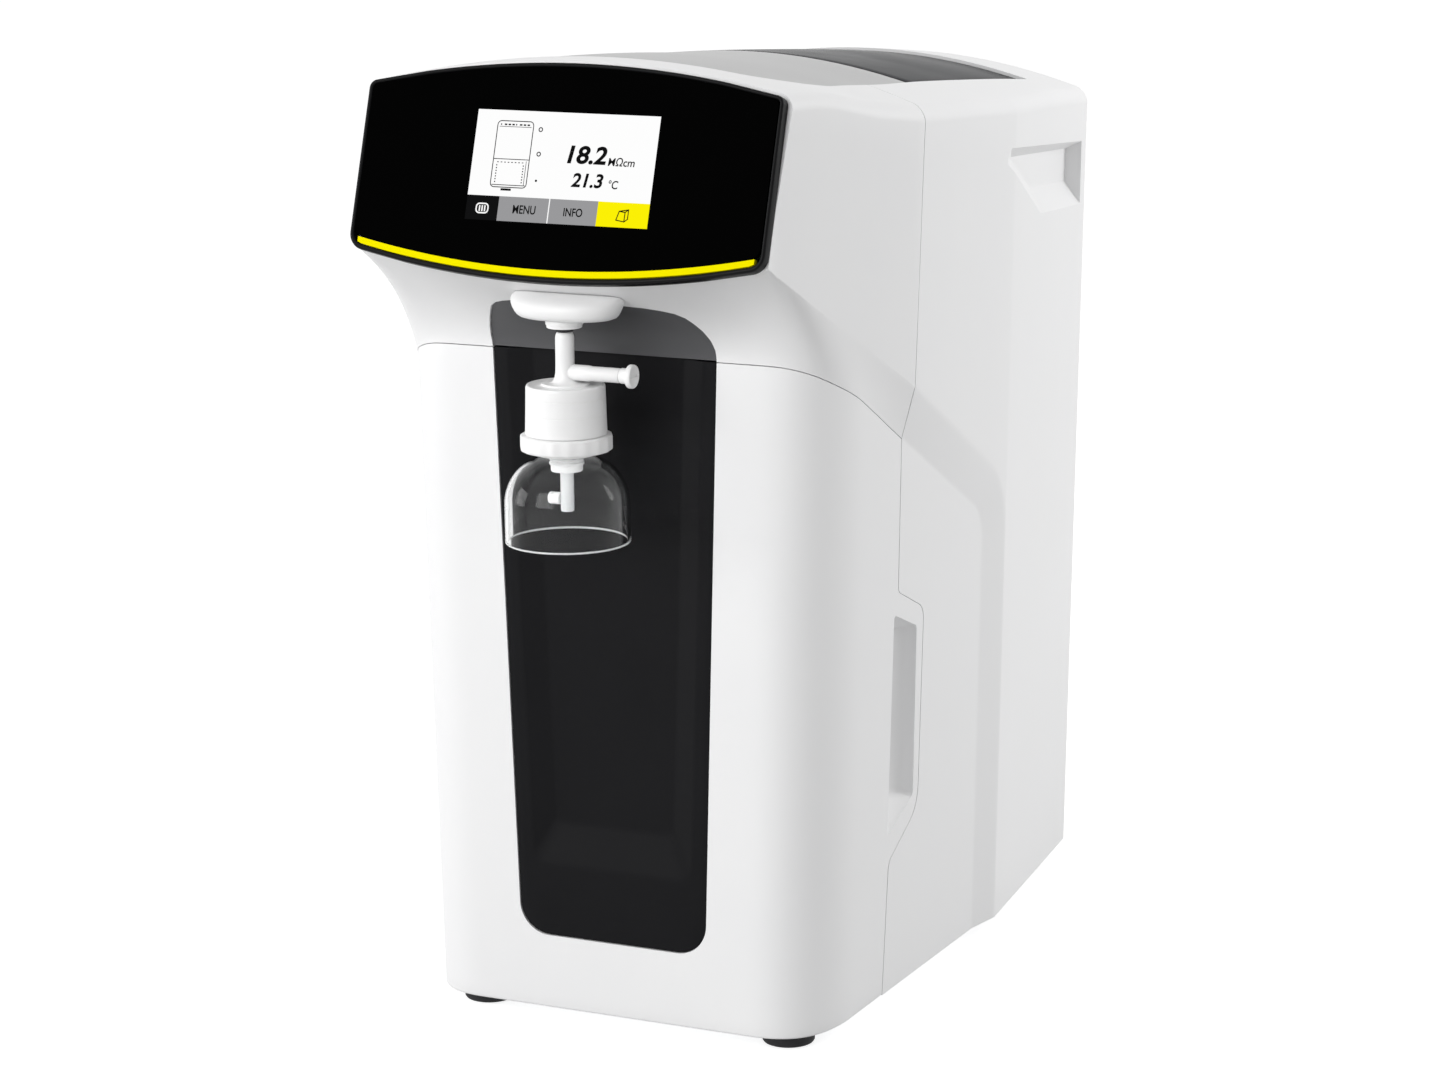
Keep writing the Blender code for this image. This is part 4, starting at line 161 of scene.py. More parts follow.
# Black ABS with the same grain: nearly matt, so it shows only broad grey lights
satinBlack = mouldedPlastic("satinAbsBlack", {
    "shadeA": "#101012", "shadeB": "#151517", "cloudMm": 45, "grainMm": 0.7,
    "grainStrength": 0.3, "grainDepthMm": 0.03, "roughLow": 0.42, "roughHigh": 0.52,
    "specular": 0.07})
# Dark grey ABS of the arch
satinGrey = mouldedPlastic("satinAbsDarkGrey", {
    "shadeA": "#4E4E50", "shadeB": "#555557", "cloudMm": 30, "grainMm": 0.7,
    "grainStrength": 0.25, "grainDepthMm": 0.03, "roughLow": 0.42, "roughHigh": 0.52,
    "specular": 0.25})
# Smooth tinted acrylic of the two top plates: a clean reflection over grey
smokedAcrylic = mouldedPlastic("smokedAcrylicDark", {
    "shadeA": "#26272A", "shadeB": "#2B2C2F", "cloudMm": 60, "grainMm": 1.5,
    "grainStrength": 0.02, "grainDepthMm": 0.01, "roughLow": 0.20, "roughHigh": 0.26,
    "specular": 0.005})
frostedAcrylic = mouldedPlastic("frostedAcrylicLight", {
    "shadeA": "#B4B4B4", "shadeB": "#BABABA", "cloudMm": 90, "grainMm": 1.0,
    "grainStrength": 0.03, "grainDepthMm": 0.01, "roughLow": 0.30, "roughHigh": 0.36,
    "specular": 0.1})
# Matt black rim round the display
rimPlastic = mouldedPlastic("mattRimPlastic", {
    "shadeA": "#0E0E0F", "shadeB": "#131314", "cloudMm": 25, "grainMm": 0.6,
    "grainStrength": 0.1, "grainDepthMm": 0.01, "roughLow": 0.28, "roughHigh": 0.34,
    "specular": 0.07})
# Coated cover glass: black, flat and almost free of reflections
coatedGlass = mouldedPlastic("coatedCoverGlass", {
    "shadeA": "#030303", "shadeB": "#050505", "cloudMm": 80, "grainMm": 2.0,
    "grainStrength": 0.01, "grainDepthMm": 0.01, "roughLow": 0.08, "roughHigh": 0.12,
    "specular": 0.0})
# Yellow acrylic strip, dyed through and polished
yellowAcrylic = mouldedPlastic("yellowAcrylic", {
    "shadeA": "#EFE300", "shadeB": "#F1E600", "cloudMm": 20, "grainMm": 1.0,
    "grainStrength": 0.05, "grainDepthMm": 0.01, "roughLow": 0.34, "roughHigh": 0.4,
    "specular": 0.0})
# Milky polypropylene: light goes a little way in, so edges glow and shadows stay pale
milkyPolypropylene = mouldedPlastic("milkyPolypropylene", {
    "shadeA": "#F4F4F4", "shadeB": "#F8F8F8", "cloudMm": 12, "grainMm": 0.9,
    "grainStrength": 0.12, "grainDepthMm": 0.02, "roughLow": 0.3, "roughHigh": 0.38,
    "ior": 1.49, "specular": 0.35, "milk": 0.35, "milkDepth": 0.6})
fittingWhite = mouldedPlastic("whiteAcetal", {
    "shadeA": "#F1F1F1", "shadeB": "#F5F5F5", "cloudMm": 15, "grainMm": 0.8,
    "grainStrength": 0.12, "grainDepthMm": 0.02, "roughLow": 0.32, "roughHigh": 0.4,
    "specular": 0.35})
# Natural polypropylene tube, thin enough to let light through
frostedTube = mouldedPlastic("frostedTube", {
    "shadeA": "#F4F6F7", "shadeB": "#FAFBFC", "cloudMm": 8, "grainMm": 0.8,
    "grainStrength": 0.1, "grainDepthMm": 0.01, "roughLow": 0.3, "roughHigh": 0.36,
    "ior": 1.49, "clear": 0.35, "milk": 0.2, "milkDepth": 0.4})
# Clear polycarbonate bell: only its edges and reflections show. The photograph shows almost no
# haze over it, so its index is far below the real 1.58
clearPolycarbonate = mouldedPlastic("clearPolycarbonate", {
    "shadeA": "#FCFDFD", "shadeB": "#FFFFFF", "cloudMm": 30, "grainMm": 6.0,
    "grainStrength": 0.02, "grainDepthMm": 0.02, "roughLow": 0.01, "roughHigh": 0.03,
    "ior": 1.2, "clear": 1.0})
# Black rubber: dull, with a powdery bloom
feetRubber = mouldedPlastic("mouldedRubber", {
    "shadeA": "#1B1B1D", "shadeB": "#232325", "cloudMm": 8, "grainMm": 0.5,
    "grainStrength": 0.3, "grainDepthMm": 0.03, "roughLow": 0.6, "roughHigh": 0.75,
    "specular": 0.3})
moulding = mouldedPlastic("blackNylon", {
    "shadeA": "#161618", "shadeB": "#1E1E20", "cloudMm": 15, "grainMm": 0.6,
    "grainStrength": 0.25, "grainDepthMm": 0.03, "roughLow": 0.42, "roughHigh": 0.52})
connectorGrey = mouldedPlastic("greyAcetal", {
    "shadeA": "#9FA1A4", "shadeB": "#ABADB0", "cloudMm": 12, "grainMm": 0.6,
    "grainStrength": 0.15, "grainDepthMm": 0.02, "roughLow": 0.34, "roughHigh": 0.42})
rearPanelWhite = mouldedPlastic("powderCoatedPanel", {
    "shadeA": "#E9E9E9", "shadeB": "#EFEFEF", "cloudMm": 50, "grainMm": 0.9,
    "grainStrength": 0.35, "grainDepthMm": 0.05, "roughLow": 0.5, "roughHigh": 0.6})
tankPolyethylene = mouldedPlastic("blowMouldedPolyethylene", {
    "shadeA": "#E4E6E4", "shadeB": "#EFF0EE", "cloudMm": 35, "grainMm": 1.2,
    "grainStrength": 0.2, "grainDepthMm": 0.06, "roughLow": 0.38, "roughHigh": 0.48,
    "milk": 0.3, "milkDepth": 1.0})
capBlue = mouldedPlastic("bluePolypropylene", {
    "shadeA": "#2F6DA8", "shadeB": "#3878B4", "cloudMm": 10, "grainMm": 0.7,
    "grainStrength": 0.2, "grainDepthMm": 0.03, "roughLow": 0.35, "roughHigh": 0.45})
# Green solder mask over glass laminate, with the weave showing faintly
solderMask = mouldedPlastic("solderMask", {
    "shadeA": "#1E5C38", "shadeB": "#277046", "cloudMm": 9, "grainMm": 0.9,
    "grainStrength": 0.3, "grainDepthMm": 0.03, "roughLow": 0.3, "roughHigh": 0.4})
# Zinc-plated sheet, bright turned steel and anodised aluminium
zincSheet = workedMetal("zincPlatedSheet", {
    "shadeA": "#B4B7BA", "shadeB": "#C3C6C9", "cloudMm": 14, "lineMm": 0.8,
    "stretch": (1, 1, 6), "lineStrength": 0.15, "lineDepthMm": 0.02,
    "roughLow": 0.3, "roughHigh": 0.42})
turnedSteel = workedMetal("turnedSteel", {
    "shadeA": "#C2C3C5", "shadeB": "#CFD0D2", "cloudMm": 8, "lineMm": 0.4,
    "stretch": (1, 1, 8), "lineStrength": 0.15, "lineDepthMm": 0.01,
    "roughLow": 0.2, "roughHigh": 0.3})
anodisedHousing = workedMetal("anodisedAluminium", {
    "shadeA": "#B9BBBE", "shadeB": "#C6C8CB", "cloudMm": 20, "lineMm": 0.5,
    "stretch": (1, 6, 1), "lineStrength": 0.2, "lineDepthMm": 0.02,
    "roughLow": 0.32, "roughHigh": 0.42})
pixelWhite = litPixels("litPixelsWhite", {"shadeA": "#FBFBFB", "shadeB": "#FFFFFF", "pixelMm": 0.2})
pixelBlack = litPixels("darkPixels", {"shadeA": "#0B0B0C", "shadeB": "#101011", "pixelMm": 0.2})
pixelGrey = litPixels("litPixelsGrey", {"shadeA": "#979799", "shadeB": "#9B9B9D", "pixelMm": 0.2})
pixelYellow = litPixels("litPixelsYellow", {
    "shadeA": "#FBEE00", "shadeB": "#FBF100", "pixelMm": 0.2})
print("materials made:", len(bpy.data.materials))


# Pieces and meshes

def makePiece(name, mesh, material, body, replaced=()):
    piece = bpy.data.objects.new(name, mesh)
    bpy.context.scene.collection.objects.link(piece)
    mesh.materials.clear()
    mesh.materials.append(material)
    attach(piece, body)
    if replaced:
        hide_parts(*replaced)
    return piece


def toWorld(mesh):
    mesh.transform(Matrix.Translation((0, -centreDepth, 0)))
    return mesh


def shadeByAngle(mesh, angle=sharpAngle):
    mesh.shade_smooth()
    mesh.set_sharp_from_angle(angle=angle)
    return mesh


def meshFromRows(rows, closedRows=False, capStart=False, capEnd=False):
    mesh = bpy.data.meshes.new("rows")
    shape = bmesh.new()
    made = [[shape.verts.new(point) for point in row] for row in rows]
    count = len(made[0])
    for row, following in zip(made, made[1:]):
        for i in range(count if closedRows else count - 1):
            j = (i + 1) % count
            shape.faces.new((row[i], row[j], following[j], following[i]))
    if capStart:
        shape.faces.new(list(reversed(made[0])))
    if capEnd:
        shape.faces.new(made[-1])
    bmesh.ops.remove_doubles(shape, verts=shape.verts, dist=2e-6)
    bmesh.ops.dissolve_degenerate(shape, dist=2e-6, edges=shape.edges)
    bmesh.ops.recalc_face_normals(shape, faces=shape.faces)
    shape.to_mesh(mesh)
    shape.free()
    return mesh


# The final mesh of an object that is only needed for a moment
def finalMesh(holder):
    bpy.context.scene.collection.objects.link(holder)
    bpy.context.view_layer.update()
    evaluated = holder.evaluated_get(bpy.context.evaluated_depsgraph_get())
    mesh = bpy.data.meshes.new_from_object(evaluated)
    bpy.data.objects.remove(holder, do_unlink=True)
    return mesh


def cornerArc(corner, start, end, radius, steps=5):
    corner = Vector(corner)
    u = (Vector(start) - corner).normalized()
    v = (Vector(end) - corner).normalized()
    half = u.angle(v) / 2
    reach = radius / math.tan(half)
    centre = corner + (u + v).normalized() * (radius / math.sin(half))
    first = corner + u * reach - centre
    last = corner + v * reach - centre
    sweep = first.angle_signed(last)
    return [tuple(centre + Matrix.Rotation(-sweep * i / steps, 2) @ first)
            for i in range(steps + 1)]


def softPath(points, radii, steps=5, closed=True):
    path = []
    count = len(points)
    for i, (point, radius) in enumerate(zip(points, radii)):
        if radius == 0 or (not closed and i in (0, count - 1)):
            path.append(tuple(point))
        else:
            path += cornerArc(point, points[i - 1], points[(i + 1) % count], radius, steps)
    return path


sideView = Matrix(((0, 0, 1, 0), (1, 0, 0, 0), (0, 1, 0, 0), (0, 0, 0, 1)))
frontView = Matrix(((1, 0, 0, 0), (0, 0, 1, 0), (0, 1, 0, 0), (0, 0, 0, 1)))


def slab(outlines, low, high, matrix=None, edge=0.0, edgeSteps=2):
    curve = bpy.data.curves.new("slab", "CURVE")
    curve.dimensions = "2D"
    curve.fill_mode = "BOTH"
    curve.extrude = (high - low) / 2 - edge
    curve.bevel_depth = edge
    curve.bevel_resolution = edgeSteps
    curve.offset = -edge
    for outline in outlines:
        line = curve.splines.new("POLY")
        line.points.add(len(outline) - 1)
        for point, (x, y) in zip(line.points, outline):
            point.co = (x, y, 0, 1)
        line.use_cyclic_u = True
    mesh = finalMesh(bpy.data.objects.new("slab", curve))
    shape = bmesh.new()
    shape.from_mesh(mesh)
    bmesh.ops.remove_doubles(shape, verts=shape.verts, dist=2e-6)
    bmesh.ops.translate(shape, vec=(0, 0, (low + high) / 2), verts=shape.verts)
    if matrix is not None:
        bmesh.ops.transform(shape, matrix=matrix, verts=shape.verts)
    bmesh.ops.recalc_face_normals(shape, faces=shape.faces)
    shape.to_mesh(mesh)
    shape.free()
    return mesh


def carve(mesh, steps):
    holder = bpy.data.objects.new("carved", mesh)
    tools = []
    for operation, toolMesh in steps:
        tool = bpy.data.objects.new("tool", toolMesh)
        bpy.context.scene.collection.objects.link(tool)
        tools.append(tool)
        change = holder.modifiers.new("carve", "BOOLEAN")
        change.operation = operation
        change.object = tool
        change.solver = "EXACT"
    result = finalMesh(holder)
    for old in tools:
        bpy.data.objects.remove(old, do_unlink=True)
    return result


def reference(mesh):
    copy = mesh.copy()
    shape = bmesh.new()
    shape.from_mesh(copy)
    bmesh.ops.triangulate(shape, faces=shape.faces)
    shape.to_mesh(copy)
    shape.free()
    shadeByAngle(copy)
    points = [v.co.copy() for v in copy.vertices]
    faces = [tuple(p.vertices) for p in copy.polygons]
    corners = [n.vector.copy() for n in copy.corner_normals]
    tree = BVHTree.FromPolygons(points, faces)
    return tree, points, faces, corners


# A closed sheet between an upper and a lower grid of points
def sheetFromGrids(grids, rimWidth=0.0):
    mesh = bpy.data.meshes.new("sheet")
    shape = bmesh.new()
    made = [[[shape.verts.new(p) for p in row] for row in grid] for grid in grids]
    lastRow, lastSpot = len(grids[0]) - 1, len(grids[0][0]) - 1
    for grid in made:
        for row, following in zip(grid, grid[1:]):
            for i in range(lastSpot):
                shape.faces.new((row[i], row[i + 1], following[i + 1], following[i]))
    border = [(0, i) for i in range(lastSpot + 1)] + [(j, lastSpot) for j in range(1, lastRow + 1)]
    border += [(lastRow, i) for i in range(lastSpot - 1, -1, -1)]
    border += [(j, 0) for j in range(lastRow - 1, 0, -1)]
    for i, (j, k) in enumerate(border):
        m, n = border[(i + 1) % len(border)]
        shape.faces.new((made[0][j][k], made[1][j][k], made[1][m][n], made[0][m][n]))
    bmesh.ops.recalc_face_normals(shape, faces=shape.faces)
    if rimWidth:
        rims = [e for e in shape.edges if len(e.link_faces) == 2
                and e.calc_face_angle() > math.radians(60)]
        bmesh.ops.bevel(shape, geom=rims, offset=rimWidth, segments=3, profile=0.5, affect="EDGES")
    shape.to_mesh(mesh)
    shape.free()
    return shadeByAngle(mesh)


# Shading normals taken from the uncut shapes, so that a boolean leaves no facets
def settleNormals(mesh, references, soft=None, near=4e-5):
    mesh.shade_smooth()
    normals = [None] * len(mesh.loops)
    points = [v.co.copy() for v in mesh.vertices]
    for polygon in mesh.polygons:
        centre = polygon.center
        found = None
        for item in references:
            spot, normal, index, distance = item[0].find_nearest(centre, near)
            if spot is not None and abs(normal.dot(polygon.normal)) > 0.94:
                found = item, (1 if normal.dot(polygon.normal) > 0 else -1)
                break
        for loop in polygon.loop_indices:
            if found is None:
                normals[loop] = polygon.normal.copy()
                continue
            (tree, refPoints, refFaces, refCorners), side = found
            point = points[mesh.loops[loop].vertex_index]
            inward = centre - point
            inward = inward * min(1.0, 4e-5 / max(inward.length, 1e-9))
            spot, normal, index, distance = tree.find_nearest(point + inward, 2e-3)
            if spot is None or abs(normal.dot(polygon.normal)) < 0.8:
                normals[loop] = polygon.normal.copy()
                continue
            a, b, c = (refPoints[k] for k in refFaces[index])
            na, nb, nc = refCorners[index * 3:index * 3 + 3]
            blended = barycentric_transform(spot, a, b, c, na, nb, nc).normalized()
            normals[loop] = blended * side
    if soft:
        shared = {}
        for loop in mesh.loops:
            if soft(points[loop.vertex_index]):
                shared.setdefault(loop.vertex_index, []).append(loop.index)
        for loops in shared.values():
            mean = sum((normals[i] for i in loops), Vector()).normalized()
            for i in loops:
                normals[i] = mean
    mesh.normals_split_custom_set([tuple(n) for n in normals])
    return mesh


# Shape of the casing

casing = {
    "bottom": 0.009, "draft": 0.0215, "wall": 0.003, "seamGap": 0.0005, "sideGap": 0.0008,
    "coverDepth": 0.136, "bottomRound": 0.0012,
    "cornerX": (0.077, 0.100, 0.1115, 0.1126), "cornerY": (0.0, 0.0003, 0.0135, 0.044),
    "seamDepth": 0.0955, "seamHalf": 0.1135, "seamLean": 0.0075,
    "bandFront": 0.206, "bandHalf": 0.1159, "bandWidth": 0.0232, "bandRound": 0.024,
    "kneeSoft": 0.0009, "creaseSoft": 0.0022,
    "outer": ((-0.040, 0.1113), (0.0955, 0.1203), (0.2295, 0.1203), (0.383, 0.1048)),
    "rearTaper": 0.383, "rearFace": 0.388, "rearStep": 0.0042,
    "slope": 0.548, "seamHeight": 0.3533, "seamSetback": 0.003, "creaseHeight": 0.3809,
    "neckReach": 0.057, "neckRise": 0.044, "neckPower": 0.6,
    "ridge": ((-0.065, 0.4975), (-0.0255, 0.4984), (0.016, 0.4993), (0.060, 0.4972),
              (0.1147, 0.4926), (0.1705, 0.4888), (0.241, 0.4831), (0.296, 0.4782),
              (0.388, 0.4687)),
    "archFront": 0.526, "archRear": 0.338, "archFrom": -0.028, "archTo": 0.060,
    "shoulder": 0.007}
slopeLength = math.hypot(1, casing["slope"])
kneeAtFront = casing["seamHeight"] + casing["slope"] * casing["seamSetback"]
topLimit = 0.52


def between(value, table):
    if value <= table[0][0]:
        return table[0][1]
    for (a, p), (b, q) in zip(table, table[1:]):
        if value <= b:
            return p + (q - p) * (value - a) / (b - a)
    return table[-1][1]


def smoothBetween(value, table):
    last = len(table) - 1
    value = min(max(value, table[0][0]), table[-1][0])
    i = max(k for k in range(last) if table[k][0] <= value)

    def tangent(k):
        low, high = table[max(k - 1, 0)], table[min(k + 1, last)]
        return (high[1] - low[1]) / (high[0] - low[0])

    (a, p), (b, q) = table[i], table[i + 1]
    t = (value - a) / (b - a)
    width = b - a
    return ((2 * t ** 3 - 3 * t * t + 1) * p + (t ** 3 - 2 * t * t + t) * width * tangent(i)
            + (3 * t * t - 2 * t ** 3) * q + (t ** 3 - t * t) * width * tangent(i + 1))


def bezier(share, values):
    keep = 1 - share
    a, b, c, d = values
    return keep ** 3 * a + 3 * keep ** 2 * share * b + 3 * keep * share ** 2 * c + share ** 3 * d


cornerSteps = 24
cornerLine = [tuple(bezier(i / cornerSteps, casing[key]) for key in ("cornerX", "cornerY"))
              for i in range(cornerSteps + 1)]
innerWidths = [(y, x) for x, y in cornerLine] + [
    (casing["seamDepth"], casing["seamHalf"]), (casing["bandFront"], casing["bandHalf"])]


def innerHalf(y, z):
    return between(y, innerWidths) + casing["draft"] * (z - casing["bottom"])


def outerHalf(y, z):
    front, seam = casing["outer"][0][0], casing["outer"][1][0]
    share = min(max((y - front) / (seam - front), 0), 1)
    return between(y, casing["outer"]) + casing["draft"] * share * (z - casing["bottom"])


def softRamp(distance, soft):
    if distance <= -soft:
        return 0.0
    if distance >= soft:
        return distance
    return (distance + soft) ** 2 / (4 * soft)


def kneeLine(y):
    return kneeAtFront - casing["slope"] * y


# The seam's height: level across the front, then down the slope
def kneeHeight(y):
    ease = min(max((y - 0.015) / 0.030, 0), 1)
    ease = ease * ease * (3 - 2 * ease)
    past = softRamp(y, 0.0015) - casing["seamSetback"] * ease
    return casing["seamHeight"] - casing["slope"] * past


def creaseLine(y):
    return kneeLine(y) + casing["bandWidth"] * slopeLength


# 0 below the slanted band and 1 above and behind it; both its edges turn the corner in arcs
def bandShare(y, z):
    radius = casing["bandRound"]
    cosine, sine = 1 / slopeLength, casing["slope"] / slopeLength
    above = (z - kneeHeight(y)) * cosine + radius
    behind = y - casing["bandFront"] + radius
    centreY = casing["bandFront"] - radius
    centreZ = kneeHeight(centreY) - radius * slopeLength
    dy, dz = y - centreY, z - centreZ
    if dy * cosine - dz * sine > 0 and dz > 0:
        distance = math.hypot(dy, dz) - radius
    else:
        distance = max(above, behind) - radius
    width = casing["bandWidth"] + (kneeLine(y) - kneeHeight(y)) * cosine
    rise = softRamp(distance, casing["kneeSoft"]) - softRamp(distance - width, casing["creaseSoft"])
    return rise / width


def sideHalf(y, z):
    share = bandShare(y, z)
    return innerHalf(y, z) * (1 - share) + outerHalf(y, z) * share


def ridgeHeight(y):
    return smoothBetween(y, casing["ridge"]) - 0.00025


def archDrop(y, x):
    share = (y - casing["archFrom"]) / (casing["archTo"] - casing["archFrom"])
    share = min(max(share, 0), 1)
    share = share * share * (3 - 2 * share)
    radius = casing["archFront"] + (casing["archRear"] - casing["archFront"]) * share
    return x * x / (2 * radius)


def spread(low, high, count):
    return [low + (high - low) * i / count for i in range(count)]


# Side wall from a height up to the shoulder, then the shoulder arc and the arched top
def upperPoints(y, start, inset, step, counts):
    sideCount, roundCount, archCount = counts
    half = outerHalf(y, start)
    edge = start
    for _ in range(4):
        edge = ridgeHeight(y) - archDrop(y, half) - inset - step
        half = outerHalf(y, edge) - inset - step
    points = []
    radius = casing["shoulder"]
    for z in spread(start, edge - radius, sideCount):
        points.append((outerHalf(y, z) - inset - step, z))
    for i in range(roundCount + 1):
        angle = math.pi / 2 * i / roundCount
        x = half - radius * (1 - math.cos(angle))
        lift = radius * (1 - math.sin(angle))
        points.append((x, ridgeHeight(y) - archDrop(y, x) - inset - step - lift))
    lastX = points[-1][0]
    for i in range(1, archCount + 1):
        x = lastX * (1 - i / archCount)
        points.append((x, ridgeHeight(y) - archDrop(y, x) - inset - step))
    return points


def bothSides(half, y):
    return [(x, y, z) for x, z in half] + [(-x, y, z) for x, z in reversed(half[1:-1])]


def blockRing(y, inset, fine):
    crease = creaseLine(y)
    levels = spread(0.290, crease - 0.0016, fine["lower"]) + [
        crease - 0.0016, crease - 0.0008, crease + 0.0008, crease + 0.0016, crease + 0.0035]
    points = [(x, 0.284) for x in spread(0, outerHalf(y, 0.284) - inset, fine["under"])]
    points += [(outerHalf(y, z) - inset, z) for z in levels]
    return points + upperPoints(y, crease + 0.007, inset, 0, fine["upper"])


def rearRing(y, inset, fine):
    step = 0
    if y > casing["rearTaper"]:
        reach = (y - casing["rearTaper"]) / (casing["rearFace"] - casing["rearTaper"])
        step = casing["rearStep"] * min(reach, 1) ** 2
    shift = inset + step
    bend = min(max((y - 0.165) / 0.045, 0), 1)
    low = (kneeHeight(min(y, 0.21)) - 0.008) * (1 - bend) + 0.214 * bend
    high = kneeHeight(min(y, 0.21)) + casing["bandWidth"] * slopeLength + 0.008
    bottom = casing["bottom"] - (0.005 if inset else 0)
    points = [(x, bottom) for x in spread(0, sideHalf(y, bottom) - shift, fine["under"])]
    points += [(sideHalf(y, z) - shift, z) for z in spread(bottom, low, fine["lower"])]
    points += [(sideHalf(y, z) - shift, z) for z in spread(low, high, fine["band"])]
    return points + upperPoints(y, high, inset, step, fine["upper"])


fineHead = {"under": 4, "lower": 4, "upper": (8, 8, 14)}
coarseHead = {"under": 2, "lower": 2, "upper": (3, 4, 6)}
fineRear = {"under": 4, "lower": 10, "band": 58, "upper": (9, 8, 14)}
coarseRear = {"under": 2, "lower": 3, "band": 14, "upper": (3, 4, 6)}


# The head as a block with plain side walls, down past the seam
def headBlock(inset, fine, step):
    front, back = -0.067, 0.112
    count = round((back - front) / step)
    rows = []
    for i in range(count + 1):
        y = front + (back - front) * i / count
        rows.append(bothSides(blockRing(y, inset, fine), y))
    return meshFromRows(rows, True, True, True)


neckLimit = {
    "flat": innerHalf(0, casing["seamHeight"]), "reach": casing["neckReach"],
    "side": outerHalf(-casing["neckReach"], creaseLine(-casing["neckReach"])),
    "top": casing["neckRise"], "power": casing["neckPower"], "cornerEnd": 0.036}
neckLimit["bow"] = (creaseLine(-casing["neckReach"]) - casing["seamHeight"] - casing["neckRise"])
neckLimit["widen"] = neckLimit["side"] / neckLimit["flat"] - 1


# Height of the neck's underside over the flat front
def neckHeight(x, y):
    share = max(-y, 0) / neckLimit["reach"]
    wide = x / (1 + neckLimit["widen"] * share) * (1 + neckLimit["widen"])
    rise = neckLimit["top"] + neckLimit["bow"] * (wide / neckLimit["side"]) ** 2
    return casing["seamHeight"] + rise * share ** neckLimit["power"]


# Lines that run up from the seam to the display's lower edge and to the crease
def neckProfiles():
    profiles = []
    for i in range(13):
        share = i / 13
        low = (neckLimit["flat"] * share, 0.0, casing["seamHeight"] - 0.0006)
        x = neckLimit["side"] * share
        high = (x, -neckLimit["reach"], neckHeight(x, -neckLimit["reach"]))
        profiles.append((low, high, neckLimit["power"], 0.5 * share))
    bends = len(cornerLine) - 1
    for i, (x, y) in enumerate(cornerLine):
        share = i / bends
        z = kneeHeight(y) - 0.0006
        low = (innerHalf(y, z), y, z)
        farY = -neckLimit["reach"] + (neckLimit["cornerEnd"] + neckLimit["reach"]) * share
        crease = creaseLine(farY)
        high = (outerHalf(farY, crease), farY, crease + 0.00005)
        power = neckLimit["power"] + (1 - neckLimit["power"]) * (share * share * (3 - 2 * share))
        profiles.append((low, high, power, 0.5 + (math.pi / 2 - 0.5) * share))
    for i in range(1, 15):
        y = 0.044 + 0.005 * i
        z = kneeHeight(y) - 0.0006
        farY = min(neckLimit["cornerEnd"] + 0.0055 * i, y) if i < 14 else y
        crease = creaseLine(farY)
        profiles.append(((innerHalf(y, z), y, z), (outerHalf(farY, crease), farY, crease), 1.0,
                         math.pi / 2))
    return profiles


def neckCutter(grow, steps):
    rows = []
    for low, high, power, turn in neckProfiles():
        out = (math.sin(turn), -math.cos(turn))
        row = [(low[0] - out[0] * grow, low[1] - out[1] * grow, 0.275)]
        for i in range(steps + 4):
            share = (i / steps) ** 2
            y = low[1] + (high[1] - low[1]) * share
            x = low[0] + (high[0] - low[0]) * share
            z = low[2] + (high[2] - low[2]) * share ** power
            row.append((x - out[0] * grow * 0.85, y - out[1] * grow * 0.85, z + grow * 0.85))
        last = row[-1]
        row.append((last[0] + out[0] * 0.03, last[1] + out[1] * 0.03, last[2] + 0.006))
        row.append((last[0] + out[0] * 0.05, last[1] + out[1] * 0.05, 0.275))
        rows.append(row)
    mirrored = [[(-x, y, z) for x, y, z in row] for row in reversed(rows[1:])]
    return meshFromRows(mirrored + rows, True, True, True)


def rearSkin(inset, fine, dense):
    places = spread(0.075, 0.165, 18 if dense else 5) + spread(0.165, 0.240, 60 if dense else 14)
    places += spread(0.240, 0.383, 16 if dense else 6)
    rows = [bothSides(rearRing(y, inset, fine), y) for y in places]
    if inset:
        rows.append(bothSides(rearRing(0.383, inset, fine), 0.395))
    else:
        for i in range(7):
            y = 0.383 + 0.005 * i / 6
            rows.append(bothSides(rearRing(y, inset, fine), y))
    return meshFromRows(rows, True, True, True)


# The lower cover as level rings round its plan outline, with a rounded bottom edge
def coverSkin(inset):
    back = casing["coverDepth"]
    outline = [(x, 0.0) for x in spread(0, casing["cornerX"][0], 12)] + cornerLine[:-1]
    outline += [(between(y, innerWidths), y) for y in spread(casing["cornerY"][-1], back, 16)]
    outline.append((between(back, innerWidths), back))
    normals = []
    for i, (x, y) in enumerate(outline):
        a, b = outline[max(i - 1, 0)], outline[min(i + 1, len(outline) - 1)]
        along = Vector((b[0] - a[0], b[1] - a[1])).normalized()
        normals.append((along.y, -along.x))
    edge = casing["bottomRound"]
    levels = [(edge * (1 - math.cos(a)), edge * (1 - math.sin(a)))
              for a in (math.pi / 2 * i / 4 for i in range(5))] if not inset else []
    levels += [(z - casing["bottom"], 0) for z in spread(0.016, 0.368, 22)] + [(0.359, 0)]
    if inset:
        levels = [(-0.006, 0)] + levels
    rows = []
    for lift, draw in levels:
        grow = casing["draft"] * max(lift, -0.001)
        half = [(x + (grow if x > 0 else 0) * min(x / 0.083, 1) - nx * (draw + inset),
                 y - ny * (draw + inset)) for (x, y), (nx, ny) in zip(outline, normals)]
        half = [(max(x, 0), y) for x, y in half]
        half[0] = (0, half[0][1])
        z = casing["bottom"] + lift
        rows.append([(x, y, z) for x, y in half] + [(-x, y, z) for x, y in reversed(half[1:])])
    return meshFromRows(rows, True, True, True)


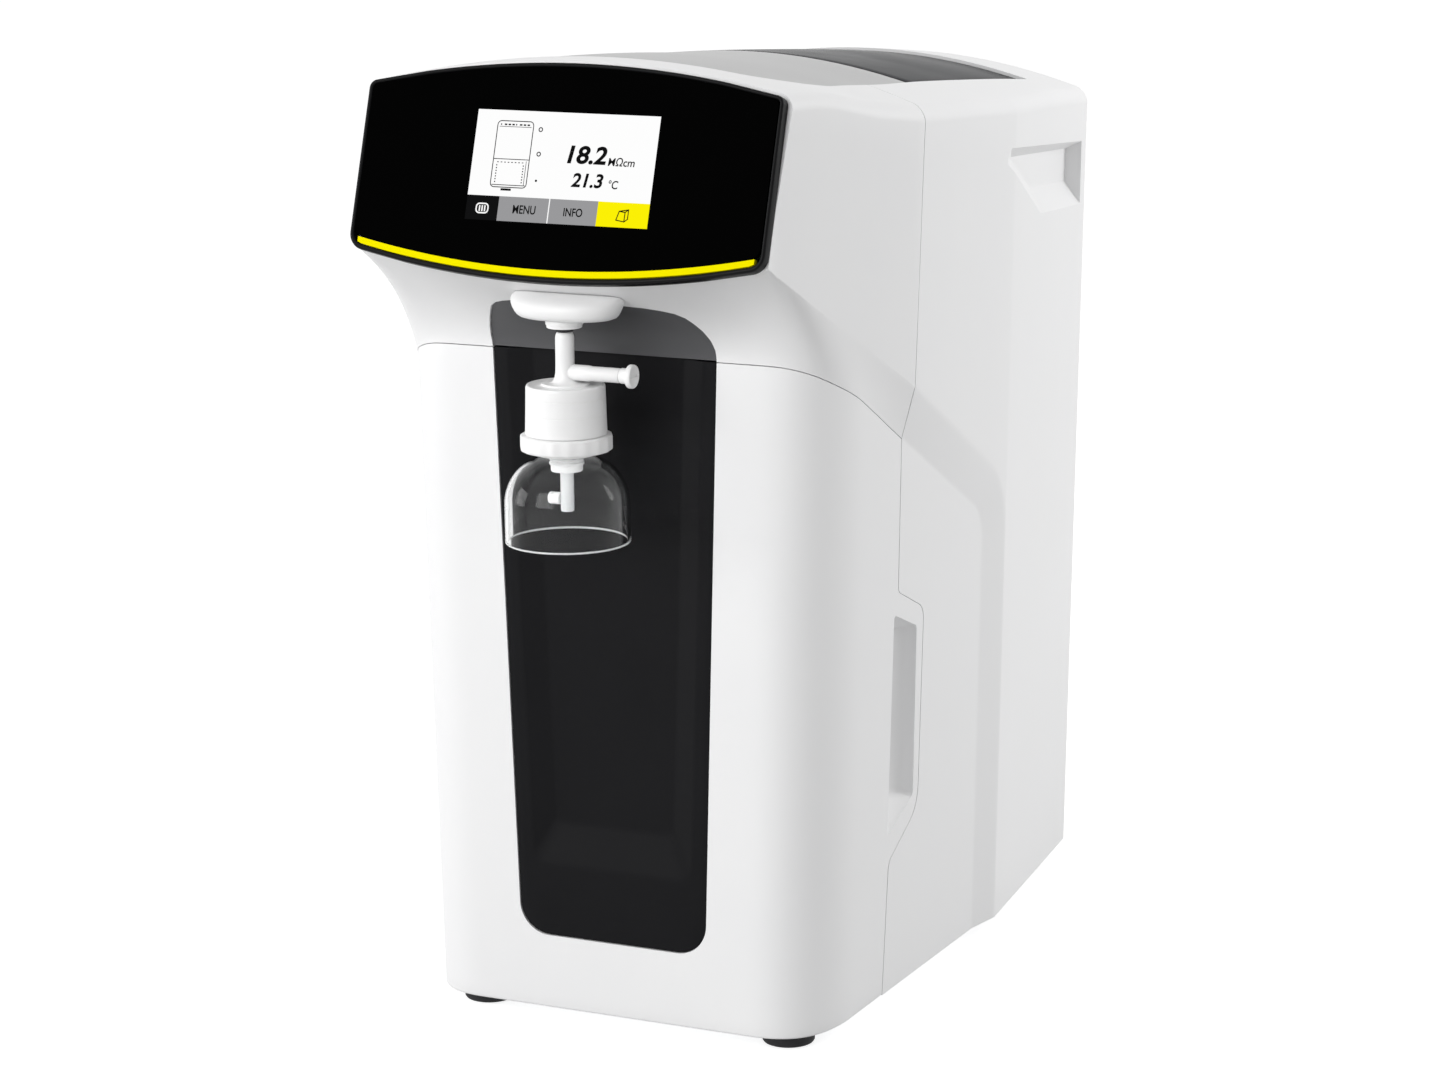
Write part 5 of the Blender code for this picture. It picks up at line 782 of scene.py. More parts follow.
# Seams between the three shells, in depth and height
seams = {
    "lower": ((0.0850, 0.004), (0.0902, 0.0800), (0.1268, 0.1005), (0.1292, 0.2075),
              (0.0955, 0.2226)),
    "lowerRounds": (0, 0.008, 0.020, 0.010, 0.0045)}
seamDepth = casing["seamDepth"]
seamKnee = kneeHeight(seamDepth)
lowerSeam = softPath(list(seams["lower"]) + [(seamDepth, seamKnee)],
                     list(seams["lowerRounds"]) + [0], 6, closed=False)


def regionBlock(outline):
    return slab([outline], -0.3, 0.3, sideView)


gap, sideGap = casing["seamGap"], casing["sideGap"]
creaseAtSeam = casing["creaseHeight"] - casing["slope"] * seamDepth
topSeam = [(-0.02, kneeHeight(-0.02))] + [
    (0.0016 * i, kneeHeight(0.0016 * i)) for i in range(-1, 30)]
coverOutline = [(y - sideGap, z) for y, z in lowerSeam[:-1]] + [(seamDepth - sideGap, 0.24)]
coverOutline += [(y, z - gap) for y, z in
                 [(seamDepth - sideGap, kneeHeight(seamDepth))] + list(reversed(topSeam))]
coverOutline += [(-0.02, 0.004)]
headOutline = [(-0.09, casing["seamHeight"])] + topSeam + [
    (seamDepth - sideGap, kneeHeight(seamDepth)), (seamDepth - sideGap, creaseAtSeam),
    (seamDepth + casing["seamLean"] - sideGap, topLimit), (-0.09, topLimit)]
rearOutline = lowerSeam + [(seamDepth, creaseAtSeam), (seamDepth + casing["seamLean"], topLimit),
                           (0.4, topLimit), (0.4, 0.004)]


# Pockets pressed into the side walls: the mouth and the floor have the same number of points
def sidePocket(shape, widthOf, grow=0.0):
    meshes = []
    mouth, floor = shape["mouth"], shape["floor"]
    if grow:
        cy, cz = (sum(p[k] for p in mouth) / len(mouth) for k in (0, 1))
        mouth, floor = ([(y + math.copysign(grow, y - cy), z + math.copysign(grow, z - cz))
                         for y, z in line] for line in (mouth, floor))
    outer = softPath(mouth, shape["rounds"], 5)
    inner = softPath(floor, shape["floorRounds"], 5)
    first, last = min(y for y, z in floor), max(y for y, z in floor)
    middleY = sum(y for y, z in inner) / len(inner)
    middleZ = sum(z for y, z in inner) / len(inner)
    # how deep each ring lies, how far it has come along to the floor and how far it pulls in
    if shape["scoop"]:
        levels = [(math.sin(math.pi / 2 * i / 12), 1 - math.cos(math.pi / 2 * i / 12), 0)
                  for i in range(13)]
    else:
        levels = [(s, s, 0) for s in (0, 0.3, 0.6, 0.85, 1)]
    levels = [(-0.35, 0, 0)] + levels + [(1, 1, 0.05)]
    for side in (1, -1):
        rows = []
        for sunk, along, pull in levels:
            row = []
            for (y0, z0), (y1, z1) in zip(outer, inner):
                y, z = y0 + (y1 - y0) * along, z0 + (z1 - z0) * max(sunk, 0)
                y, z = y + (middleY - y) * pull, z + (middleZ - z) * pull
                across = min(max((y - first) / (last - first), 0), 1)
                depth = shape["frontDepth"] + (shape["depth"] - shape["frontDepth"]) * across
                row.append((side * (widthOf(y, z) - depth * sunk - grow * (sunk > 0)), y, z))
            rows.append(row)
        meshes.append(meshFromRows(rows, True, True, True))
    return meshes


grip = {
    "mouth": ((0.0905, 0.2115), (0.1200, 0.1995), (0.1200, 0.1088), (0.0876, 0.0945)),
    "floor": ((0.0908, 0.2015), (0.1020, 0.1990), (0.1020, 0.1115), (0.0906, 0.1090)),
    "rounds": (0.002, 0.003, 0.004, 0.0012), "floorRounds": (0.0008, 0.0008, 0.0008, 0.0008),
    "depth": 0.0125, "frontDepth": 0.0125, "scoop": True}
carry = {
    "mouth": ((0.2225, 0.4352), (0.3735, 0.4220), (0.3735, 0.3864), (0.2860, 0.3924),
              (0.2157, 0.4285)),
    "floor": ((0.2300, 0.4297), (0.3715, 0.4177), (0.3715, 0.3992), (0.2790, 0.4075),
              (0.2290, 0.4284)),
    "rounds": (0.0025, 0.0008, 0.0008, 0.003, 0.003),
    "floorRounds": (0.0003, 0.0005, 0.0005, 0.0008, 0.0003),
    "depth": 0.0090, "frontDepth": 0.0030, "scoop": False}


# Outline of the black inlay and its hole, from the front
inlay = {
    "topHalf": 0.0617, "bottomHalf": 0.0524, "bottom": 0.048, "corner": 0.0167,
    "setback": 0.0004, "thickness": 0.0035, "depth": 0.0047, "fit": 0.0003,
    "mouthTop": 0.0545, "mouthBottom": 0.0445, "mouthLow": 0.086, "mouthRound": 0.0075,
    "floorTop": 0.0415, "floorBottom": 0.0330, "floorLow": 0.108, "floorRound": 0.0050}


def inlayLine(shrink, top, steps=10):
    low = inlay["bottom"] + shrink
    bottom = inlay["bottomHalf"] - shrink
    slope = (inlay["topHalf"] - inlay["bottomHalf"]) / (casing["seamHeight"] - inlay["bottom"])
    high = bottom + slope * (top - low)
    radius = inlay["corner"] - shrink
    left = cornerArc((-bottom, low), (-high, top), (bottom, low), radius, steps)
    right = cornerArc((bottom, low), (-bottom, low), (high, top), radius, steps)
    return [(-high, top)] + left + right + [(high, top)]


coverSolid = coverSkin(0)
coverHollow = coverSkin(casing["wall"])
gripPockets = sidePocket(grip, innerHalf)
gripBlocks = sidePocket(grip, innerHalf, casing["wall"])
inlayHole = slab([inlayLine(0, 0.37, 12)], -0.009, 0.009, frontView)
coverHollow = carve(coverHollow, [("DIFFERENCE", m) for m in gripBlocks])
coverMesh = carve(coverSolid, [("INTERSECT", regionBlock(coverOutline)),
                               ("DIFFERENCE", coverHollow)]
                  + [("DIFFERENCE", m) for m in gripPockets] + [("DIFFERENCE", inlayHole)])
settleNormals(coverMesh, [reference(m) for m in [coverSolid, inlayHole, coverHollow] + gripPockets])
makePiece("coverShell", toWorld(coverMesh), satinAbs, "cover", ("front_cover",))
print("front cover:", len(coverMesh.polygons), "faces")


# Black inlay: a rim, a slope with soft edges and a sunk floor, then its back
def channelLine(halfTop, halfBottom, low, radius, top, steps=6):
    left = cornerArc((-halfBottom, low), (-halfTop, top), (halfBottom, low), radius, steps)
    right = cornerArc((halfBottom, low), (-halfBottom, low), (halfTop, top), radius, steps)
    return [(-halfTop, top)] + left + right + [(halfTop, top)]


def mixLines(a, b, share):
    return [(p[0] + (q[0] - p[0]) * share, p[1] + (q[1] - p[1]) * share) for p, q in zip(a, b)]


def lineRow(line, depth):
    return [(x, depth, z) for x, z in line]


inlayTop = casing["seamHeight"] - 0.0006
rimLines = [inlayLine(inlay["fit"] + s, inlayTop, 6) for s in (0, 0.0002, 0.0007)]
mouthLine = channelLine(inlay["mouthTop"], inlay["mouthBottom"], inlay["mouthLow"],
                        inlay["mouthRound"], inlayTop)
floorLine = channelLine(inlay["floorTop"], inlay["floorBottom"], inlay["floorLow"],
                        inlay["floorRound"], inlayTop)
front = inlay["setback"]
deep = front + inlay["depth"]
frontRows = [lineRow(rimLines[0], front + 0.0007), lineRow(rimLines[1], front + 0.0002),
             lineRow(rimLines[2], front)]
frontRows.append(lineRow(mixLines(rimLines[2], mouthLine, 0.5), front))
for share, sink in ((-0.10, 0), (-0.04, 0.01), (0.04, 0.05), (0.10, 0.105), (0.5, 0.5),
                    (0.90, 0.895), (0.96, 0.95), (1.04, 0.99), (1.10, 1.0)):
    frontRows.append(lineRow(mixLines(mouthLine, floorLine, share), front + inlay["depth"] * sink))
backDepth = front + inlay["thickness"]
backRows = [lineRow(rimLines[0], backDepth), lineRow(mouthLine, backDepth),
            lineRow(floorLine, deep + inlay["thickness"])]


def sheetMesh(frontRows, backRows):
    mesh = bpy.data.meshes.new("sheet")
    shape = bmesh.new()
    fronts = [[shape.verts.new(p) for p in row] for row in frontRows]
    backs = [[shape.verts.new(p) for p in row] for row in backRows]
    for rows in (fronts, backs, [fronts[0], backs[0]]):
        for row, following in zip(rows, rows[1:]):
            for i in range(len(row) - 1):
                shape.faces.new((row[i], row[i + 1], following[i + 1], following[i]))
    shape.faces.new(fronts[-1])
    shape.faces.new(backs[-1])
    shape.faces.new((fronts[-1][0], fronts[-1][-1], backs[-1][-1], backs[-1][0]))
    for k in (0, -1):
        shape.faces.new([row[k] for row in fronts] + [row[k] for row in reversed(backs)])
    bmesh.ops.recalc_face_normals(shape, faces=shape.faces)
    shape.to_mesh(mesh)
    shape.free()
    return mesh


inlayMesh = shadeByAngle(sheetMesh(frontRows, backRows), math.radians(40))
makePiece("inlayPanel", toWorld(inlayMesh), satinBlack, "cover", ("front_inlay",))
print("front inlay:", len(inlayMesh.polygons), "faces")


# Display frame: X across, Y up the slope, Z out of the glass
display = {
    "tilt": math.radians(18.4), "bottomY": -0.0587, "bottomZ": 0.3968, "half": 0.1112,
    "height": 0.1071, "bottomSag": 0.0122, "topSag": 0.0124, "topCorner": 0.0045,
    "bottomCorner": 0.0085, "depth": 0.006, "rim": 0.0022, "bottomRim": 0.0027,
    "back": 0.0022, "strip": 0.0035, "stripShort": 0.0024, "setback": 0.0004, "fit": 0.0003,
    "screenWidth": 0.098, "screenHeight": 0.0541, "screenLow": 0.0287}
tiltMatrix = (Matrix.Translation((0, display["bottomY"], display["bottomZ"]))
              @ Matrix.Rotation(math.pi / 2 - display["tilt"], 4, "X"))


def bow(x, sag):
    return sag * (x / display["half"]) ** 2


def displayLine(inset, bottomRise, topRise, steps=36, cornerSteps=8):
    half = display["half"] - inset
    lower, upper = [], []
    for i in range(1, steps):
        x = half * (2 * i / steps - 1)
        lower.append((x, bow(x, display["bottomSag"]) + bottomRise))
        upper.append((-x, display["height"] - bow(x, display["topSag"]) - topRise))
    low = bow(half, display["bottomSag"]) + bottomRise
    high = display["height"] - bow(half, display["topSag"]) - topRise
    lowRadius = max(display["bottomCorner"] - inset, 0.0015)
    highRadius = max(display["topCorner"] - inset, 0.0015)
    cut = 4
    lower, upper = lower[cut:-cut], upper[cut:-cut]
    ends = [((half, low), lower[-1], (half, high), lowRadius),
            ((half, high), (half, low), upper[0], highRadius),
            ((-half, high), upper[-1], (-half, low), highRadius),
            ((-half, low), (-half, high), lower[0], lowRadius)]
    arcs = [cornerArc(*end, cornerSteps) for end in ends]
    return lower + arcs[0] + arcs[1] + upper + arcs[2] + arcs[3]


def tilted(points, height):
    return [tiltMatrix @ Vector((x, y, height)) for x, y in points]


# Head shell
displayRoom = slab([[(-0.3, -0.2), (0.3, -0.2), (0.3, 0.4), (-0.3, 0.4)]],
                   -display["depth"] - display["fit"], 0.2, tiltMatrix)
archLine = {
    "right": ((0.0617, 0.330), (0.0617, 0.3537), (0.0618, 0.3590), (0.0608, 0.3640),
              (0.0586, 0.3690), (0.0560, 0.3730), (0.0532, 0.3765), (0.0490, 0.3790),
              (0.0431, 0.3805), (0.0352, 0.3818), (0.0261, 0.3825), (0.012, 0.3832)),
    "sink": 0.0007, "thickness": 0.0025, "fit": 0.0003}


def archPoints(shrink, low):
    right = [(x - shrink, max(z - (shrink if z > 0.36 else 0), low)) for x, z in archLine["right"]]
    return right + [(-x, z) for x, z in reversed(right)]


archHole = slab([archPoints(0, 0.33)], -0.075, 0.020, frontView)
lidParts = {
    "half": 0.0985, "front": 0.001, "split": 0.162, "rear": 0.329, "corner": 0.028,
    "setback": 0.0015, "rearGap": 0.0032, "thickness": 0.003, "gap": 0.0005,
    "rim": 0.0007}


def lidLine(shrink, start, end, rounded, steps=10):
    half = lidParts["half"] - shrink
    corners = [(-half, start), (half, start), (half, end), (-half, end)]
    round = lidParts["corner"] if rounded else 0
    return softPath(corners, [round, round, 0, 0], steps)


lidHole = slab([lidLine(0, lidParts["front"], lidParts["rear"], True)], 0.44, 0.53)
headSolid = headBlock(0, fineHead, 0.004)
underNeck = neckCutter(0, 22)
headHollow = carve(headBlock(casing["wall"], coarseHead, 0.014),
                   [("DIFFERENCE", neckCutter(casing["wall"], 12)),
                    ("DIFFERENCE", slab([archPoints(-0.003, 0.33)], -0.08, 0.012, frontView))])
headRegion = regionBlock(headOutline)
headMesh = carve(headSolid, [("DIFFERENCE", underNeck), ("INTERSECT", headRegion),
                             ("DIFFERENCE", displayRoom), ("DIFFERENCE", headHollow),
                             ("DIFFERENCE", archHole), ("DIFFERENCE", lidHole)])


def onCrease(point):
    return abs(point.z - creaseLine(point.y)) < 0.0004 and point.y < seamDepth


settleNormals(headMesh, [reference(m) for m in (
    headSolid, underNeck, headHollow, archHole, lidHole)], onCrease)
makePiece("headShell", toWorld(headMesh), satinAbs, "cabinet", ("head_shell",))
print("head shell:", len(headMesh.polygons), "faces")


# Dark arch: a sheet that follows the neck, a touch below its surface
def archSheet():
    widths = [(z, x - archLine["fit"]) for x, z in archLine["right"][1:]]
    top = widths[-1][0] - archLine["fit"]
    rows = []
    for i in range(34):
        share = (0.006 + 0.994 * i / 33) ** 2
        low, high = 0.0, 1.0
        for _ in range(30):
            middle = (low + high) / 2
            if neckHeight(0, -neckLimit["reach"] * middle) < top:
                low = middle
            else:
                high = middle
        y = -neckLimit["reach"] * low * share
        half = 0.06
        for _ in range(30):
            half = half * 0.6 + 0.4 * between(neckHeight(half, y), widths)
        rows.append((y, half))
    grids = []
    for level in (0, 1):
        sink = archLine["sink"] + archLine["thickness"] * level
        grid = []
        for y, half in rows:
            line = []
            for k in range(33):
                x = half * (2 * k / 32 - 1)
                rise = neckHeight(x, y - 0.0005) - neckHeight(x, y + 0.0005)
                lean = Vector((0, 0.001, rise)).normalized()
                line.append((x, y + lean.z * sink, neckHeight(x, y) + lean.y * sink))
            grid.append(line)
        grids.append(grid)
    return sheetFromGrids(grids)


makePiece("archInsert", toWorld(archSheet()), satinGrey, "cabinet", ("head_inlay",))


# Rear shell
rearSolid = rearSkin(0, fineRear, True)
rearHollow = rearSkin(casing["wall"], coarseRear, False)
carryPockets = sidePocket(carry, outerHalf)
carryBlocks = sidePocket(carry, outerHalf, casing["wall"])
rearHollow = carve(rearHollow, [("DIFFERENCE", m) for m in carryBlocks])
rearMesh = carve(rearSolid, [("INTERSECT", regionBlock(rearOutline)), ("DIFFERENCE", rearHollow)]
                 + [("DIFFERENCE", m) for m in carryPockets] + [("DIFFERENCE", lidHole)])
settleNormals(rearMesh, [reference(m) for m in [rearSolid, rearHollow, lidHole] + carryPockets])
makePiece("rearShell", toWorld(rearMesh), satinAbs, "cabinet", ("rear_shell",))
print("rear shell:", len(rearMesh.polygons), "faces")


# Top plates, arched like the casing and a little below it
def topPlate(start, end, rounded):
    half = lidParts["half"] - lidParts["gap"]
    places = []
    if rounded:
        places = [start + lidParts["corner"] * (1 - math.cos(math.pi / 2 * i / 12))
                  for i in range(12)]
    first = start + (lidParts["corner"] if rounded else 0)
    places += [first + (end - first) * i / 14 for i in range(15)]
    rows = []
    for level in (0, 1):
        grid = []
        for y in places:
            ahead = lidParts["corner"] - (y - start)
            width = half
            if rounded and ahead > 0:
                width = half - lidParts["corner"] + math.sqrt(
                    max(lidParts["corner"] ** 2 - ahead ** 2, 0))
            line = []
            for k in range(25):
                x = width * (2 * k / 24 - 1)
                z = ridgeHeight(y) - archDrop(y, x) - lidParts["setback"]
                line.append((x, y, z - lidParts["thickness"] * level))
            grid.append(line)
        rows.append(grid)
    return sheetFromGrids(rows, lidParts["rim"])


windowMesh = topPlate(lidParts["front"] + lidParts["gap"],
                      lidParts["split"] - lidParts["gap"], True)
makePiece("topWindow", toWorld(windowMesh), frostedAcrylic, "cabinet",
          ("top_window",))
lidMesh = topPlate(lidParts["split"], lidParts["rear"] - lidParts["rearGap"], False)
lidRear = lidParts["rear"] - lidParts["rearGap"]
hinge = {
    "y": lidRear - 0.009, "z": between(lidRear, casing["ridge"]) - lidParts["setback"] - 0.007,
    "lug": 0.0035, "bore": 0.0018, "near": 0.0085, "width": 0.005, "rise": 0.0052}
makePiece("topLid", toWorld(lidMesh), smokedAcrylic, "lid", ("top_lid",))
arcSteps = [math.pi * i / 12 for i in range(13)]
lugOuter = [(hinge["y"] - hinge["lug"], hinge["z"] + hinge["rise"])]
lugOuter += [(hinge["y"] - hinge["lug"] * math.cos(a), hinge["z"] - hinge["lug"] * math.sin(a))
             for a in arcSteps]
lugOuter.append((hinge["y"] + hinge["lug"], hinge["z"] + hinge["rise"] - 0.0002))
lugBore = [(hinge["y"] + hinge["bore"] * math.cos(math.tau * i / 24),
            hinge["z"] + hinge["bore"] * math.sin(math.tau * i / 24)) for i in range(24)]
for sideName, side in (("Right", 1), ("Left", -1)):
    low, high = sorted((side * hinge["near"], side * (hinge["near"] + hinge["width"])))
    lugMesh = shadeByAngle(slab([lugOuter, lugBore], low, high, sideView, 0.0003))
    makePiece("lidLug" + sideName, toWorld(lugMesh), smokedAcrylic, "lid")
print("top plates done")


# Display rim: a ring with a soft outer edge and a bright inner chamfer
rimProfile = ((0, -0.006), (0, -0.0012), (0.0002, -0.0005), (0.0007, -0.0001), (0.0012, 0),
              (0.0015, -0.0001), (0.0020, -0.0008), (0.0022, -0.0014), (0.0022, -0.0058),
              (0.0016, -0.006))
rows = []
for inset, height in rimProfile:
    line = displayLine(inset, inset * display["bottomRim"] / display["rim"], inset)
    rows.append(tilted(line, height))
rows.append(rows[0])
bezelMesh = shadeByAngle(meshFromRows(rows, True), math.radians(40))
makePiece("displayRim", toWorld(bezelMesh), rimPlastic, "cabinet", ("display_bezel",))
glassLow = display["bottomRim"] + display["strip"]
glassFloor = display["back"] - display["depth"] + display["fit"]


# Yellow strip between the rim and the glass, drawn to a point at each end
def stripMesh():
    inset = display["rim"] + display["fit"]
    low = displayLine(inset, display["bottomRim"] + display["fit"], inset, 60, 10)
    half = display["half"] - inset
    lowEdge = sorted(p for p in low if p[1] < display["bottomSag"] + glassLow + 0.004)
    rows = []
    for i in range(97):
        x = (half - display["stripShort"]) * (2 * i / 96 - 1)
        bottom = between(x, [(a, b) for a, b in lowEdge])
        top = max(bow(x, display["bottomSag"]) + glassLow, bottom + 0.00002)
        ring = [(x, bottom, glassFloor), (x, bottom, -0.0006), (x, bottom + 0.0001, -0.00042),
                (x, (bottom + top) / 2, -0.0004), (x, top - 0.00001, -0.0004), (x, top, glassFloor)]
        rows.append([tiltMatrix @ Vector(p) for p in ring])
    return shadeByAngle(meshFromRows(rows, True, True, True))


makePiece("yellowStrip", toWorld(stripMesh()), yellowAcrylic, "cabinet",
          ("accent_strip",))
glassOutline = displayLine(display["rim"] + display["fit"], glassLow + display["fit"],
                           display["rim"] + display["fit"])
screenHalf = display["screenWidth"] / 2
screenLow, screenHigh = display["screenLow"], display["screenLow"] + display["screenHeight"]
window = [(-screenHalf, screenLow), (screenHalf, screenLow), (screenHalf, screenHigh),
          (-screenHalf, screenHigh)]
glassMesh = slab([glassOutline, window], glassFloor, -display["setback"], tiltMatrix)
makePiece("coverGlass", toWorld(shadeByAngle(glassMesh)), coatedGlass, "cabinet",
          ("display_glass",))
print("display front done")


# Words and symbols on the screen: thin pieces just over the lit panel
screenTop = screenLow + display["screenHeight"]
screen = {"floor": -0.00058, "step": 0.00003, "line": 0.0006}


# u runs to the right and v down, both from 0 to 1
def screenSpot(u, v):
    return (-screenHalf + u * display["screenWidth"], screenTop - v * display["screenHeight"])


def onScreen(name, outlines, material, level=0):
    low = screen["floor"] + level * screen["step"]
    mesh = slab(outlines, low, low + screen["step"] * 0.8, tiltMatrix)
    return makePiece(name, toWorld(mesh), material, "cabinet")


def screenBox(u0, v0, u1, v1):
    return [screenSpot(u0, v0), screenSpot(u0, v1), screenSpot(u1, v1), screenSpot(u1, v0)]


def frameBox(u0, v0, u1, v1, thick, radius=0.0):
    (x0, y0), (x1, y1) = screenSpot(u0, v0), screenSpot(u1, v1)
    inner = [(x0 + thick, y0 - thick), (x0 + thick, y1 + thick), (x1 - thick, y1 + thick),
             (x1 - thick, y0 - thick)]
    return [softPath(screenBox(u0, v0, u1, v1), [radius] * 4, 4),
            softPath(inner, [max(radius - thick, 0)] * 4, 4)]


def circleLine(u, v, radius, steps=24):
    x, y = screenSpot(u, v)
    return [(x + radius * math.cos(math.tau * i / steps),
             y + radius * math.sin(math.tau * i / steps))
            for i in range(steps)]


# A word drawn to fill a box of the screen; heavy is the extra thickness of its strokes
def screenText(name, words, box, material, slant=0.0, heavy=0.0, level=1):
    u0, v0, u1, v1 = box
    (left, bottom), (right, top) = screenSpot(u0, v1), screenSpot(u1, v0)
    curve = bpy.data.curves.new(name, "FONT")
    curve.body = words
    curve.size = (top - bottom) / 0.73
    curve.shear = slant
    curve.offset = heavy
    curve.extrude = screen["step"] * 0.4
    mesh = finalMesh(bpy.data.objects.new(name, curve))
    xs, ys = [v.co.x for v in mesh.vertices], [v.co.y for v in mesh.vertices]
    fit = Matrix.Diagonal(((right - left) / (max(xs) - min(xs)),
                           (top - bottom) / (max(ys) - min(ys)), 1, 1))
    low = screen["floor"] + (level + 0.5) * screen["step"]
    mesh.transform(tiltMatrix @ Matrix.Translation((left, bottom, low)) @ fit
                   @ Matrix.Translation((-min(xs), -min(ys), 0)))
    return makePiece(name, toWorld(mesh), material, "cabinet")


def lineStrip(a, b, thick):
    (x0, y0), (x1, y1) = screenSpot(*a), screenSpot(*b)
    along = Vector((x1 - x0, y1 - y0)).normalized() * thick / 2
    across = Vector((-along.y, along.x))
    a, b = Vector((x0, y0)) - along, Vector((x1, y1)) + along
    return [tuple(a + across), tuple(a - across), tuple(b - across), tuple(b + across)]


# Buttons along the bottom, then the small drawing of the machine, then the readings
barTop = 0.778
onScreen("buttonHome", [screenBox(0.0, barTop, 0.178, 1.0)], pixelBlack)
onScreen("buttonMenu", [screenBox(0.178, barTop, 0.453, 1.0)], pixelGrey)
onScreen("buttonInfo", [screenBox(0.459, barTop, 0.721, 1.0)], pixelGrey)
onScreen("buttonStart", [screenBox(0.721, barTop, 1.0, 1.0)], pixelYellow)
screenText("wordMenu", "MENU", (0.260, 0.850, 0.385, 0.928), pixelBlack, 0, 0.0001)
screenText("wordInfo", "INFO", (0.539, 0.852, 0.642, 0.928), pixelBlack, 0, 0.0001)
onScreen("iconRack", frameBox(0.054, 0.845, 0.126, 0.942, 0.0007, 0.002), pixelWhite, 1)
for i in range(3):
    u = 0.072 + 0.0145 * i
    onScreen("iconRackBar" + str(i), [screenBox(u, 0.868, u + 0.0075, 0.922)], pixelWhite, 1)
cube = ((0.840, 0.856), (0.872, 0.864), (0.871, 0.948), (0.827, 0.936), (0.889, 0.840),
        (0.889, 0.924))
for i, (a, b) in enumerate(((0, 1), (1, 2), (2, 3), (3, 0), (0, 4), (1, 4), (4, 5), (5, 2))):
    onScreen("iconCube" + str(i), [lineStrip(cube[a], cube[b], 0.0005)], pixelBlack, 1)
onScreen("drawingCase", frameBox(0.115, 0.093, 0.318, 0.700, 0.00045, 0.0022), pixelBlack)
onScreen("drawingCap", [screenBox(0.128, 0.146, 0.305, 0.151)], pixelBlack)
onScreen("drawingShelf", [screenBox(0.119, 0.438, 0.314, 0.445)], pixelBlack)
onScreen("drawingBase", [screenBox(0.124, 0.672, 0.309, 0.679)], pixelBlack)
onScreen("drawingLine", [screenBox(0.299, 0.455, 0.302, 0.672)], pixelBlack)
onScreen("drawingFoot", [screenBox(0.178, 0.706, 0.235, 0.726)], pixelBlack)
for i in range(8):
    u = 0.134 + 0.021 * i
    onScreen("drawingMark" + str(i), [screenBox(u, 0.122, u + (0.014 if i % 4 else 0.006), 0.136)],
             pixelBlack)
    u = 0.140 + 0.0195 * i
    onScreen("drawingDash" + str(i), [screenBox(u, 0.466, u + 0.009, 0.474)], pixelBlack)
for i in range(7):
    v = 0.492 + 0.025 * i
    onScreen("drawingDotLeft" + str(i), [screenBox(0.137, v, 0.143, v + 0.012)], pixelBlack)
    onScreen("drawingDotRight" + str(i), [screenBox(0.284, v, 0.290, v + 0.012)], pixelBlack)
for i, (u, v) in enumerate(((0.357, 0.163), (0.363, 0.384))):
    onScreen("markRing" + str(i), [circleLine(u, v, 0.0012), circleLine(u, v, 0.00068)], pixelBlack)
onScreen("markDot", [circleLine(0.367, 0.624, 0.0006)], pixelBlack)
screenText("resistivity", "18.2", (0.523, 0.290, 0.735, 0.455), pixelBlack, 0.15, 0.00036)
screenText("resistivityUnit", "MΩcm", (0.746, 0.382, 0.890, 0.460), pixelBlack, 0.1, 0.00008)
screenText("temperature", "21.3", (0.560, 0.535, 0.732, 0.664), pixelBlack, 0.15, 0.00026)
screenText("temperatureUnit", "°C", (0.763, 0.585, 0.815, 0.664), pixelBlack, 0.1, 0.00008)
print("screen drawn")


# Nozzle. Its pieces turn about one upright line
nozzleY = -0.041
nozzlePlace = Matrix.Translation((0, nozzleY, 0))


def turned(profile, steps=64, wave=None):
    rows = []
    for i in range(steps):
        angle = math.tau * i / steps
        row = []
        for r, z in profile:
            if wave and r >= wave["from"]:
                r += wave["depth"] * (math.cos(wave["count"] * angle) - 1) / 2
            row.append((r * math.cos(angle), r * math.sin(angle), z))
        rows.append(row)
    rows.append(rows[0])
    return shadeByAngle(meshFromRows(rows))


def sideways(mesh, height):
    mesh.transform(Matrix.Translation((0, 0, height)) @ Matrix.Rotation(math.pi / 2, 4, "Y"))
    return mesh


def nozzlePiece(name, mesh, material, body, replaced=()):
    mesh.transform(nozzlePlace)
    return makePiece(name, toWorld(mesh), material, body, replaced)


pad = {"back": -0.020, "power": 0.88,
       "levels": ((0.3768, 0.0215, -0.0505), (0.3770, 0.0232, -0.0520), (0.3775, 0.0245, -0.0533),
                  (0.3785, 0.0257, -0.0545), (0.3800, 0.0268, -0.0553), (0.3820, 0.0279, -0.0557),
                  (0.3840, 0.0288, -0.0553), (0.3855, 0.0292, -0.0544), (0.3868, 0.0293, -0.0528),
                  (0.3878, 0.0289, -0.0507), (0.3886, 0.0278, -0.0477), (0.3891, 0.0255, -0.0440),
                  (0.3893, 0.0200, -0.0400))}
rows = []
for z, half, front in pad["levels"]:
    row = []
    middle, reach = (front + pad["back"]) / 2, (pad["back"] - front) / 2
    for i in range(96):
        angle = math.tau * i / 96
        c, s = math.cos(angle), math.sin(angle)
        row.append((half * math.copysign(abs(c) ** pad["power"], c),
                    middle + reach * math.copysign(abs(s) ** pad["power"], s), z))
    rows.append(row)
padSolid = meshFromRows(rows, True, True, True)
neckRoom = carve(headSolid.copy(), [("DIFFERENCE", underNeck)])
neckRoom.transform(Matrix.Translation((0, -0.0003, -0.0003)))
padMesh = carve(padSolid, [("DIFFERENCE", neckRoom)])
settleNormals(padMesh, [reference(padSolid)])
makePiece("outletPad", toWorld(padMesh), fittingWhite, "cabinet",
          ("dispense_pad",))

